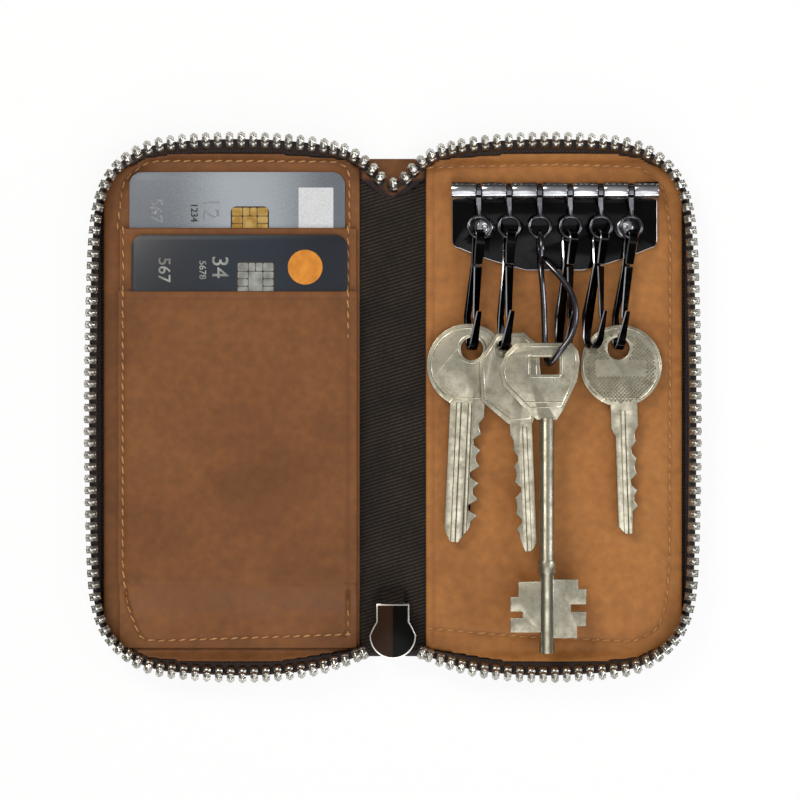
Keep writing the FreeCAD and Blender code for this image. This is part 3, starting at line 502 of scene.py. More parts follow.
def solid_from_outline(name: str, outline: Iterable[Point2], low: float, high: float) -> Piece:
    """A flat slab from an outline.

    Args:
        name: Name of the piece.
        outline: Corners in millimetres, anticlockwise.
        low: Lower level, in millimetres.
        high: Upper level, in millimetres.

    Returns:
        The slab.
    """
    work = bmesh.new()
    foot = [work.verts.new((x * MM, y * MM, low * MM)) for x, y in outline]
    face = work.faces.new(foot)
    grown = bmesh.ops.extrude_face_region(work, geom=[face])
    tops = [item for item in grown["geom"] if isinstance(item, bmesh.types.BMVert)]
    bmesh.ops.translate(work, verts=tops, vec=(0, 0, (high - low) * MM))
    bmesh.ops.recalc_face_normals(work, faces=work.faces)
    return link_work(name, work)


def arc(x: float, y: float, radius: float, first: float, last: float, step: float) -> list[Point2]:
    """Points round an arc from one angle up to another in steps of degrees, in millimetres."""
    count = round((last - first) / step)
    angles = (math.radians(first + (last - first) * i / count) for i in range(count + 1))
    return [(x + radius * math.cos(angle), y + radius * math.sin(angle)) for angle in angles]


def rounded_box(x0: float, x1: float, y0: float, y1: float, corner: float) -> list[Point2]:
    """Outline of a rectangle with rounded corners, in millimetres, anticlockwise."""
    points: list[Point2] = []
    for cx, cy, first in ((x1 - corner, y0 + corner, -90), (x1 - corner, y1 - corner, 0),
                          (x0 + corner, y1 - corner, 90), (x0 + corner, y0 + corner, 180)):
        points += arc(cx, cy, corner, first, first + 90, 15)
    return points


def merged(node: str) -> bmesh.types.BMesh:
    """A CAD node's mesh with its doubled corners merged."""
    work = bmesh.new()
    work.from_mesh(bpy.data.objects[node].data)
    bmesh.ops.remove_doubles(work, verts=work.verts, dist=1e-6)
    return work


def node_copy(node: str, name: str) -> Piece:
    """A copy of a CAD node with its doubled corners merged and its flat faces joined up."""
    work = merged(node)
    bmesh.ops.dissolve_limit(work, angle_limit=math.radians(0.8), verts=work.verts, edges=work.edges)
    return link_work(name, work)


def freeze(piece: Piece) -> Piece:
    """Turn a piece with modifiers into a plain mesh."""
    graph = bpy.context.evaluated_depsgraph_get()
    mesh = bpy.data.meshes.new_from_object(piece.evaluated_get(graph))
    piece.modifiers.clear()
    old, piece.data = piece.data, mesh
    mesh.name = piece.name
    bpy.data.meshes.remove(old)
    return piece


def eased(piece: Piece, width_mm: float, segments: int = 2, angle_deg: float = 34.0,
          finishes: Sequence[Material] = ()) -> Piece:
    """Round a piece's sharp edges, as tumbling or folding does.

    Args:
        piece: The piece; its mesh is replaced.
        width_mm: Width of the rounding.
        segments: Facets across the rounding.
        angle_deg: Edges flatter than this stay as they are.
        finishes: Finish of the faces and finish of the rounding, where they differ.

    Returns:
        The same piece.
    """
    bevel = piece.modifiers.new("edges", "BEVEL")
    if finishes:
        for finish in finishes:
            piece.data.materials.append(finish)
        bevel.material = 1
    bevel.width, bevel.segments = width_mm * MM, segments
    bevel.limit_method, bevel.angle_limit = "ANGLE", math.radians(angle_deg)
    bevel.use_clamp_overlap = True
    return freeze(piece)


def softened(piece: Piece, grid_mm: float, passes: int) -> Piece:
    """Make a fine, even skin with soft edges out of a hard slab."""
    skin = piece.modifiers.new("skin", "REMESH")
    skin.mode, skin.voxel_size, skin.use_smooth_shade = "VOXEL", grid_mm * MM, True
    melt = piece.modifiers.new("melt", "SMOOTH")
    melt.factor, melt.iterations = 0.5, passes
    return freeze(piece)


def join(pieces: Sequence[Piece], name: str) -> Piece:
    """Join pieces into one mesh, keeping their finishes."""
    work = bmesh.new()
    finishes: list[Material] = []
    for piece in pieces:
        start = len(work.faces)
        work.from_mesh(piece.data)
        work.faces.ensure_lookup_table()
        for face in list(work.faces)[start:]:
            finish = piece.data.materials[face.material_index]
            if finish not in finishes:
                finishes.append(finish)
            face.material_index = finishes.index(finish)
        bpy.data.objects.remove(piece)
    joined = link_work(name, work)
    for finish in finishes:
        joined.data.materials.append(finish)
    return joined


def cut_at_middle(piece: Piece, side: int) -> Piece:
    """Cut a piece square on the middle plane and keep one side, 1 for the keys' and -1 for the cards'."""
    work = bmesh.new()
    work.from_mesh(piece.data)
    bmesh.ops.bisect_plane(work, geom=[*work.verts, *work.edges, *work.faces], dist=1e-7,
                           plane_co=(0, 0, 0), plane_no=(side, 0, 0), clear_inner=True)
    bmesh.ops.holes_fill(work, edges=[edge for edge in work.edges if edge.is_boundary], sides=0)
    work.to_mesh(piece.data)
    work.free()
    return piece


def corners_of(piece: Piece) -> np.ndarray:
    """A mesh's corners as rows, in metres."""
    rows = np.empty(len(piece.data.vertices) * 3)
    piece.data.vertices.foreach_get("co", rows)
    return rows.reshape(-1, 3)


def normals_of(piece: Piece) -> np.ndarray:
    """A mesh's corner normals as rows."""
    rows = np.empty(len(piece.data.vertices) * 3)
    piece.data.vertex_normals.foreach_get("vector", rows)
    return rows.reshape(-1, 3)


def set_corners(piece: Piece, rows: np.ndarray) -> None:
    """Write a mesh's corners back."""
    piece.data.vertices.foreach_set("co", rows.ravel())
    piece.data.update()


def paint(piece: Piece, name: str, values: np.ndarray) -> None:
    """Store one number for each corner under a name that a finish reads."""
    layer = piece.data.attributes.new(name, "FLOAT", "POINT")
    layer.data.foreach_set("value", values.astype(np.float32))


def facing_up(out: np.ndarray) -> np.ndarray:
    """How much of an upper face each corner belongs to, from its normal: 0 to 1."""
    return np.clip((out[:, 2] - 0.3) / 0.4, 0, 1)


def ridge(distance: np.ndarray, width: float) -> np.ndarray:
    """A soft ridge: 1 on a line and next to nothing beyond twice its width."""
    return np.exp(-(distance / width) ** 2)


def distance_to_line(rows: np.ndarray, line: Sequence[Point2]) -> np.ndarray:
    """How far each corner is, seen from above, from a line of points in millimetres; in millimetres."""
    flat = rows[:, :2] / MM
    nearest = np.full(len(flat), np.inf)
    for (x0, y0), (x1, y1) in zip(line, line[1:]):
        start, step = np.array([x0, y0]), np.array([x1 - x0, y1 - y0])
        share = np.clip(((flat - start) @ step) / (step @ step), 0, 1)
        nearest = np.minimum(nearest, np.linalg.norm(flat - start - share[:, None] * step, axis=1))
    return nearest


def rolled(rows: np.ndarray, scale_mm: float, seed: float) -> np.ndarray:
    """Gentle unevenness of hide: a smooth number from -1 to 1 for each corner."""
    offset = Vector((seed, seed * 1.7, 0))
    return np.array([noise.noise(Vector((x, y, 0)) / (scale_mm * MM) + offset) for x, y, _ in rows])


def smooth_line(points: Sequence[Point2], step_mm: float = 0.8) -> list[Point2]:
    """A line through points with its corners rounded, as evenly spaced points in millimetres."""
    curve = [np.array(p, float) for p in points]
    for _ in range(2):
        cut = [curve[0]]
        for a, b in zip(curve, curve[1:]):
            reach = min(3.0, np.linalg.norm(b - a) / 3)
            way = (b - a) / np.linalg.norm(b - a)
            cut += [a + way * reach * 0.5, b - way * reach * 0.5]
        curve = cut + [curve[-1]]
    lengths = np.concatenate([[0], np.cumsum([np.linalg.norm(b - a) for a, b in zip(curve, curve[1:])])])
    marks = np.linspace(0, lengths[-1], max(2, int(lengths[-1] / step_mm)))
    rows = np.array(curve)
    return list(zip(np.interp(marks, lengths, rows[:, 0]), np.interp(marks, lengths, rows[:, 1])))


def box_mm(node: str) -> list[list[float]]:
    """Lowest and highest corner of a CAD node, in millimetres."""
    return [[value / MM for value in corner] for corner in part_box(node)]


def settle(piece: Piece, body: str, slot: str, *nodes: str) -> Piece:
    """Hand a finished piece over to the frame.

    Args:
        piece: The piece, at rest in the frame's axes.
        body: The body it rides on.
        slot: Not used.
        nodes: The CAD nodes it stands for.

    Returns:
        The same piece.
    """
    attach(piece, body)
    if nodes:
        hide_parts(*nodes)
    LOG.info("%-22s on %-10s %7d faces", piece.name, body, len(piece.data.polygons))
    return piece


def settle_bent(piece: Piece, half: Half, fold_mm: tuple[float, float], slot: str, *nodes: str) -> Piece:
    """Hand over a piece that lies between the spine and a leaf: bake it in place and hide its CAD nodes; it
    is not attached to a body and is not bent.

    Args:
        piece: The piece, at rest in the frame's axes.
        half: The leaf.
        fold_mm: Where the bend starts and ends, from the spine's middle line.
        slot: Not used.
        nodes: The CAD nodes it stands for.

    Returns:
        The same piece.
    """
    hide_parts(*nodes)
    start, end = ((half.value * reach * MM, 0, 0) for reach in fold_mm)
    half.body
    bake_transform(piece)
    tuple(start)
    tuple(end)
    LOG.info("%-22s bends at the spine", piece.name)
    return piece


# ---------------------------------------------------------------------------------------------------
# Geometry Nodes
# ---------------------------------------------------------------------------------------------------
def node_group(name: str, inputs: dict[str, tuple[str, float | None]]) -> Tree:
    """A geometry tree with named inputs after its geometry.

    Args:
        name: The tree's name.
        inputs: Socket type and default of each named input.

    Returns:
        The tree, with its sockets and no nodes.
    """
    tree = bpy.data.node_groups.new(name, "GeometryNodeTree")
    tree.interface.new_socket("Geometry", in_out="INPUT", socket_type="NodeSocketGeometry")
    tree.interface.new_socket("Geometry", in_out="OUTPUT", socket_type="NodeSocketGeometry")
    for label, (kind, value) in inputs.items():
        socket = tree.interface.new_socket(label, in_out="INPUT", socket_type=kind)
        if value is not None:
            socket.default_value = value
    return tree


def run_tree(piece: Piece, tree: Tree, **values: object) -> Piece:
    """Run a tree on a piece and keep the plain mesh."""
    modifier = piece.modifiers.new(tree.name, "NODES")
    modifier.node_group = tree
    sockets = {item.name: item.identifier for item in tree.interface.items_tree if item.in_out == "INPUT"}
    for label, value in values.items():
        modifier[sockets[label]] = value
    return freeze(piece)


def turned_to(tree: Tree, up: Socket | tuple, along: Socket) -> Socket:
    """A rotation that brings +Z to one direction and +X to another."""
    return add(tree, "FunctionNodeAxesToRotation", {0: up, 1: along}, primary_axis="Z",
               secondary_axis="X").outputs[0]


def end_tree(tree: Tree, copies: bpy.types.Node, finish: Socket, smooth: bool = False) -> Tree:
    """Make a tree's copies real and give them their finish."""
    last = add(tree, "GeometryNodeRealizeInstances", {"Geometry": copies.outputs[0]})
    if smooth:
        last = add(tree, "GeometryNodeSetShadeSmooth", {"Geometry": last.outputs[0]})
    last = add(tree, "GeometryNodeSetMaterial", {"Geometry": last.outputs[0], "Material": finish})
    add(tree, "NodeGroupOutput", {0: last.outputs[0]})
    return tree


def placing_tree() -> Tree:
    """Sets one piece on every point, turned to the point's own "up" and "along" directions."""
    tree = node_group("set_on_points", {"Piece": ("NodeSocketObject", None),
                                        "Finish": ("NodeSocketMaterial", None)})
    source = add(tree, "NodeGroupInput")
    piece = add(tree, "GeometryNodeObjectInfo", {"Object": source.outputs["Piece"]})
    up, along = (add(tree, "GeometryNodeInputNamedAttribute", {"Name": name},
                     data_type="FLOAT_VECTOR").outputs[0] for name in ("up", "along"))
    copies = add(tree, "GeometryNodeInstanceOnPoints",
                 {"Points": source.outputs["Geometry"], "Instance": piece.outputs["Geometry"],
                  "Rotation": turned_to(tree, up, along)})
    return end_tree(tree, copies, source.outputs["Finish"])


def stitching_tree() -> Tree:
    """Lays a run of saddle stitches along a line of edges."""
    tree = node_group("saddle_stitch", {"Pitch": ("NodeSocketFloat", None),
                                        "Length": ("NodeSocketFloat", None),
                                        "Thickness": ("NodeSocketFloat", None),
                                        "Slant": ("NodeSocketFloat", 0.16),
                                        "Finish": ("NodeSocketMaterial", None)})
    source = add(tree, "NodeGroupInput")
    length, thickness = source.outputs["Length"], source.outputs["Thickness"]
    curve = add(tree, "GeometryNodeMeshToCurve", {"Mesh": source.outputs["Geometry"]})
    spots = add(tree, "GeometryNodeCurveToPoints",
                {"Curve": curve.outputs[0], "Length": source.outputs["Pitch"]}, mode="LENGTH")
    facing = turned_to(tree, UP, spots.outputs["Tangent"])
    slant = add(tree, "ShaderNodeCombineXYZ", {2: source.outputs["Slant"]})
    lean = add(tree, "FunctionNodeEulerToRotation", {0: slant.outputs[0]})
    turn = add(tree, "FunctionNodeRotateRotation", {0: facing, 1: lean.outputs[0]}, rotation_space="LOCAL")
    thread = add(tree, "GeometryNodeMeshUVSphere", {"Segments": 8, "Rings": 6, "Radius": 0.5})
    size = add(tree, "ShaderNodeCombineXYZ", {0: length, 1: thickness, 2: thickness})
    copies = add(tree, "GeometryNodeInstanceOnPoints",
                 {"Points": spots.outputs[0], "Instance": thread.outputs[0], "Rotation": turn.outputs[0],
                  "Scale": size.outputs[0]})
    return end_tree(tree, copies, source.outputs["Finish"], smooth=True)


@dataclass
class Workshop:
    """What every sub-assembly needs: the finishes and the two trees."""

    palette: Palette
    placing: Tree = field(default_factory=placing_tree)
    stitching: Tree = field(default_factory=stitching_tree)

    def on_points(self, name: str, places: Sequence[tuple[Vector, Vector, Vector]], piece: Piece,
                  finish: Material) -> Piece:
        """Copies of one small piece on many places.

        Args:
            name: Name of the result.
            places: Point, up direction and along direction of each copy.
            piece: The small piece, at the origin.
            finish: Material of the copies.

        Returns:
            One plain mesh with every copy.
        """
        mesh = bpy.data.meshes.new(name)
        mesh.from_pydata([p for p, _, _ in places], [], [])
        for label, index in (("up", 1), ("along", 2)):
            layer = mesh.attributes.new(label, "FLOAT_VECTOR", "POINT")
            values = np.array([place[index][:] for place in places], np.float32)
            layer.data.foreach_set("vector", values.ravel())
        return dress(run_tree(link(name, mesh), self.placing, Piece=piece, Finish=finish), None, None)

    def stitch(self, name: str, lines: Sequence[Sequence[Point2]], on: Piece, below: bool = False,
               pitch_mm: float = 2.6, length_mm: float = 2.1, thickness_mm: float = 0.46) -> Piece:
        """Stitches along lines laid down on a piece.

        Args:
            name: Name of the result.
            lines: Lines of points in millimetres, seen from above.
            on: The piece that is sewn.
            below: Whether the stitches show on the lower face.
            pitch_mm: From stitch to stitch.
            length_mm: Length of a stitch.
            thickness_mm: Thread thickness.

        Returns:
            One plain mesh with every stitch.
        """
        tree = BVHTree.FromObject(on, bpy.context.evaluated_depsgraph_get())
        verts: list[Vector] = []
        edges: list[tuple[int, int]] = []
        start, way = (-0.02, UP) if below else (0.03, -UP)
        for line in lines:
            last = None
            for x, y in line:
                spot = tree.ray_cast(Vector((x * MM, y * MM, start)), way)[0]
                if spot is None:
                    last = None
                    continue
                verts.append(spot - way * 0.06 * MM)
                if last is not None:
                    edges.append((last, len(verts) - 1))
                last = len(verts) - 1
        mesh = bpy.data.meshes.new(name)
        mesh.from_pydata(verts, edges, [])
        return run_tree(link(name, mesh), self.stitching, Pitch=pitch_mm * MM, Length=length_mm * MM,
                        Thickness=thickness_mm * MM, Finish=self.palette.thread)


# ---------------------------------------------------------------------------------------------------
# Outer leather and lining
# ---------------------------------------------------------------------------------------------------
@dataclass
class OuterSheet:
    """One half of the outer hide: the leaf and its half of the spine, in one bent sheet."""

    shop: Workshop
    half: Half
    corner_mm: float = 13.0
    sew_in_mm: float = 3.4
    sewn_from_mm: float = 13.0
    fold_mm: tuple[float, float] = (5.0, 11.0)
    notch_mm: tuple[float, float] = (2.9, 14.2)
    lap_mm: float = 1.2
    burnish_mm: float = 1.6

    def curve(self, inset: float) -> tuple[list[Point2], float, float]:
        """The key leaf's two round corners, set in from the edge, and its lower and upper Y."""
        (_, y0, _), (x1, y1, _) = box_mm("cover_right")
        y0, y1 = y0 + inset, y1 - inset
        return rounded_box(0, x1 - inset, y0, y1, self.corner_mm - inset)[:14], y0, y1

    def mirrored(self, line: Sequence[Point2]) -> list[Point2]:
        """A line of the key leaf, on this leaf."""
        return [(self.half.value * x, y) for x, y in line]

    def outline(self) -> list[Point2]:
        """Outline in millimetres, anticlockwise; past the middle line it has a lap to cut off."""
        corners, y0, y1 = self.curve(0)
        half_notch, deep = self.notch_mm
        line = [(half_notch, y0), *corners, (-self.lap_mm, y1), (-self.lap_mm, y0 + deep),
                (half_notch, y0 + deep)]
        return self.mirrored(line)[::self.half.value]

    def seam(self) -> list[Point2]:
        """The stitch line round the leaf's three free sides, in millimetres."""
        corners, y0, y1 = self.curve(self.sew_in_mm)
        return self.mirrored([(self.sewn_from_mm, y0), *corners, (self.sewn_from_mm, y1)])

    def build(self) -> Piece:
        """Make the sheet, its waves and the stitches that hold the zip."""
        top = box_mm("cover_right")[1][2]
        outline, line = self.outline(), self.seam()
        sheet = softened(solid_from_outline(f"outer_leather_{self.half.side}", outline, 0, top), 0.6, 3)
        # The butt joint on the middle line is cut square, so the two halves meet without a gap.
        rows, out = corners_of(cut_at_middle(sheet, self.half.value)), normals_of(sheet)
        under = out[:, 2] < -0.6
        groove = ridge(distance_to_line(rows, line), 0.55)
        rows[:, 2] += np.where(under, (0.10 * rolled(rows, 19, 3.0) + 0.12 + 0.22 * groove) * MM, 0)
        set_corners(sheet, rows)
        edge = np.clip(1 - distance_to_line(rows, outline + outline[:1]) / self.burnish_mm, 0, 1)
        x, y = np.abs(rows[:, 0]) / MM, rows[:, 1] / MM
        paint(sheet, "burnish", 0.55 * edge * (x > 1) + 0.3 * groove * under)
        # Inside the stitch line the zip's dark tape is folded round the hide's edge.
        inside = np.clip(np.maximum(x - 7.2, np.minimum(58.0, 53.6 + 0.8 * x) - y), 0, 1)
        paint(sheet, "binding", inside * (out[:, 2] > -0.75))
        dress(sheet, self.shop.palette.outer, 62)
        thread = self.shop.stitch(f"outer_stitches_{self.half.side}", [line], sheet, below=True)
        settle(thread, self.half.body, "outer_leather")
        return settle_bent(sheet, self.half, self.fold_mm, "outer_leather", "cover_" + self.half.side,
                           "cover_spine")


@dataclass
class LiningSheet:
    """One half of the ribbed lining, stretched over the spine and in under the panels."""

    shop: Workshop
    half: Half
    lap_mm: float = 1.2
    fold_mm: tuple[float, float] = (5.5, 10.5)

    def middle(self, foot: float, low: float, high: float) -> Piece:
        """The part over the spine, drawn in beside the slider and up to the zip at the other end."""
        (_, tail, _), (_, head, _) = box_mm("lining_spine")
        line = [(-self.lap_mm, tail), (3.0, tail), (3.0, foot - 0.7), (9.3, foot + 0.2), (9.3, head + 5.2),
                (2.4, head), (-self.lap_mm, head)]
        outline = [(self.half.value * x, y) for x, y in line][::self.half.value]
        return solid_from_outline("middle", outline, low, high)

    def build(self) -> Piece:
        """Make the cloth with shallow folds that run out from the slider."""
        node = "lining_" + self.half.side
        low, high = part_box(node)
        parts = (node_copy(node, "leaf"), self.middle(low.y / MM, low.z / MM, high.z / MM))
        both = join([dress(part, self.shop.palette.lining) for part in parts],
                    f"lining_cloth_{self.half.side}")
        sheet = softened(both, 0.42, 2)
        rows, out = corners_of(cut_at_middle(sheet, self.half.value)), normals_of(sheet)
        spread, y = np.abs(rows[:, 0]) / MM, rows[:, 1] / MM
        near_spine = np.clip(1 - (spread - 7.5) / 1.5, 0, 1) * np.clip((y + 50.5) / 3, 0, 1)
        pull = ridge(y + 44, 9) * (0.5 + 0.5 * np.sin(spread * 1.9 + 0.6 * np.abs(y + 50)))
        wave = (0.28 * rolled(rows, 9, 5.0) - 0.30 * pull) * (out[:, 2] > 0.5) * near_spine
        rows[:, 2] += np.clip(wave, -0.35, 0.30) * MM
        set_corners(sheet, rows)
        dress(sheet, self.shop.palette.lining, 62)
        return settle_bent(sheet, self.half, self.fold_mm, "lining_cloth", node, "lining_spine")


# ---------------------------------------------------------------------------------------------------
# Inner leather: the key panel, the card side's back panel, the slots and the pocket
# ---------------------------------------------------------------------------------------------------
@dataclass
class LeatherPanel:
    """A sewn leather panel made from its CAD solid: soft edges, rolled lips, waves and sewing."""

    shop: Workshop
    node: str
    half: Half
    finish: Material
    seams: list[list[Point2]] = field(default_factory=list)
    lips: list[list[Point2]] = field(default_factory=list)
    scores: list[list[Point2]] = field(default_factory=list)
    wave_mm: float = 0.12
    wave_size_mm: float = 14.0
    seed: float = 1.0
    shape: Callable[[np.ndarray, np.ndarray], np.ndarray] | None = None

    def build(self) -> None:
        """Make the panel and its stitches."""
        hide = softened(node_copy(self.node, self.node + "_leather"), 0.5, 5)
        rows, out = corners_of(hide), normals_of(hide)
        sink = self.wave_mm * (rolled(rows, self.wave_size_mm, self.seed) - 0.6)
        sink += 0.03 * rolled(rows, 3.0, self.seed + 4)
        burnish = np.zeros(len(rows))
        for seam in self.seams:
            near = distance_to_line(rows, seam)
            sink -= 0.26 * ridge(near, 0.7)
            burnish = np.maximum(burnish, 0.55 * ridge(near, 0.45))
        for lip in self.lips:
            # A turned-in edge: it rises to the lip and is pressed down along the fold behind it.
            near = distance_to_line(rows, lip)
            sink += 0.10 * ridge(near, 0.8)
            fold_line = ridge(near - 2.0, 0.3)
            sink -= 0.16 * fold_line
            burnish = np.maximum(burnish, np.maximum(0.35 * fold_line, 0.7 * ridge(near, 0.25)))
        for score in self.scores:
            near = distance_to_line(rows, score)
            sink -= 0.22 * ridge(near, 0.32)
            burnish = np.maximum(burnish, 0.5 * ridge(near, 0.35))
        rows[:, 2] += sink * facing_up(out) * MM
        if self.shape is not None:
            rows[:, 2] += self.shape(rows / MM, out) * MM
        set_corners(hide, rows)
        side = np.clip(0.75 - np.abs(normals_of(hide)[:, 2]), 0, 1) * 0.8
        paint(hide, "burnish", np.clip(np.maximum(burnish, side), 0, 1))
        slot = "panel_leather" if self.half is Half.KEYS else "pocket_leather"
        settle(dress(hide, self.finish, None), self.half.body, slot, self.node)
        settle(self.shop.stitch(self.node + "_stitches", self.seams, hide), self.half.body, slot)


@dataclass
class InnerLeather:
    """All inner panels and their sewing lines."""

    shop: Workshop
    sew_in_mm: float = 1.1
    spine_in_mm: float = 2.2
    pocket_mm: tuple[float, float] = (-68.6, -9.0)
    step_mm: float = -53.0
    slope_mm: float = 9.0

    def panel(self, node: str, seams: list[list[Point2]], **more: object) -> None:
        """One panel of the card side."""
        LeatherPanel(self.shop, node, Half.CARDS, self.shop.palette.pocket, seams, **more).build()

    def build(self) -> None:
        """Make the four panels."""
        left = box_mm("key_panel")[0][0]
        key_seam = smooth_line([(left + 1.2, 60.2), (40, 60.9), (62.5, 60.3), (68.0, 55.0), (69.6, 44),
                                (69.4, -40), (68.4, -50), (66.4, -55.6), (60.5, -58.7), (30, -57.2),
                                (left + 1.2, -55.4)])
        LeatherPanel(self.shop, "key_panel", Half.KEYS, self.shop.palette.panel, [key_seam],
                     scores=[[(left + 2.0, 61.5), (left + 2.0, -59.0)]], wave_size_mm=17, seed=2.0).build()
        self.panel("pocket_back", [smooth_line([(-10.9, 45.6), (-10.9, 59.4), (-13.5, 61.6), (-38, 61.8),
                                                (-61.5, 61.8), (-67.6, 57), (-69.0, 45.6)])], seed=6.0)
        (x0, _, _), (x1, slot_lip, _) = box_mm("card_slot_panel")
        pocket_lip = box_mm("front_pocket")[1][1]
        self.panel("card_slot_panel", [[(x, slot_lip - 0.6), (x, pocket_lip + 0.4)]
                                       for x in (x0 + self.sew_in_mm, x1 - self.spine_in_mm)],
                   lips=[[(x0, slot_lip), (x1, slot_lip)]], wave_mm=0.1, seed=9.0)
        (x0, y0, _), (x1, _, _) = box_mm("front_pocket")
        inner, outer = x1 - self.spine_in_mm, x0 + self.sew_in_mm
        foot = smooth_line([(outer, pocket_lip - 0.6), (outer, -40), (x0 + 2.2, -50), (x0 + 5.4, y0 + 2.6),
                            (x0 + 9, y0 + 2.0), (inner, y0 + 3.6)])
        self.panel("front_pocket", [foot, [(inner, pocket_lip - 0.6), (inner, y0 + 3.6)]],
                   lips=[[(x0, pocket_lip), (x1, pocket_lip)]], wave_mm=0.22, wave_size_mm=20, seed=12.0,
                   shape=self.over_cards)

    def over_cards(self, rows: np.ndarray, out: np.ndarray) -> np.ndarray:
        """The pocket sinks softly from the cards to its sewn edges and, past their ends, to what is below.

        Args:
            rows: Corners in millimetres.
            out: Corner normals.

        Returns:
            Change of height for each corner, in millimetres.
        """
        x, y, z = rows.T
        edge = ridge(np.minimum(np.abs(x - self.pocket_mm[0]), np.abs(x - self.pocket_mm[1])), 2.6)
        sink = -0.35 * edge * (z > 4.5) * facing_up(out)
        # The cards end at the step; the leather comes down from there in a smooth slope.
        share = np.clip((y - self.step_mm) / self.slope_mm, 0, 1)
        level = 3.7 + 2.15 * share * share * (3 - 2 * share) - 0.3 * edge
        face = (out[:, 2] > 0.3) | ((out[:, 1] < -0.3) & (out[:, 2] > -0.3))
        return sink + np.clip(level - z, 0, 3) * (face & (z > 3.2) & (y < -43.5))


# ---------------------------------------------------------------------------------------------------
# Zip
# ---------------------------------------------------------------------------------------------------
@dataclass(frozen=True)
class ToothPlace:
    """Where one tooth stands: the top of its head, and the ways up its legs and along the row."""

    top: Vector
    up: Vector
    along: Vector


def islands(work: bmesh.types.BMesh) -> Iterable[np.ndarray]:
    """The corners of each separate solid in a mesh, as rows."""
    left = dict.fromkeys(work.verts)
    while left:
        stack, island = [left.popitem()[0]], []
        while stack:
            vert = stack.pop()
            island.append(vert.co[:])
            for edge in vert.link_edges:
                other = edge.other_vert(vert)
                if other in left:
                    del left[other]
                    stack.append(other)
        yield np.array(island)


def main_axes(rows: np.ndarray) -> np.ndarray:
    """The three main directions of a cloud of corners as columns, the longest last."""
    return np.linalg.eigh(np.cov((rows - rows.mean(0)).T))[1]


def places_of(node: str) -> list[ToothPlace]:
    """Find each tooth's place from a CAD node's separate solids, in no order."""
    work, found = merged(node), []
    for rows in islands(work):
        middle = Vector(rows.mean(0))
        along, _, up = (Vector(axis) for axis in main_axes(rows).T)
        if up.z < 0:
            up.negate()
        reach = max((Vector(row) - middle).dot(up) for row in rows)
        found.append(ToothPlace(middle + up * reach, up, along))
    work.free()
    return found


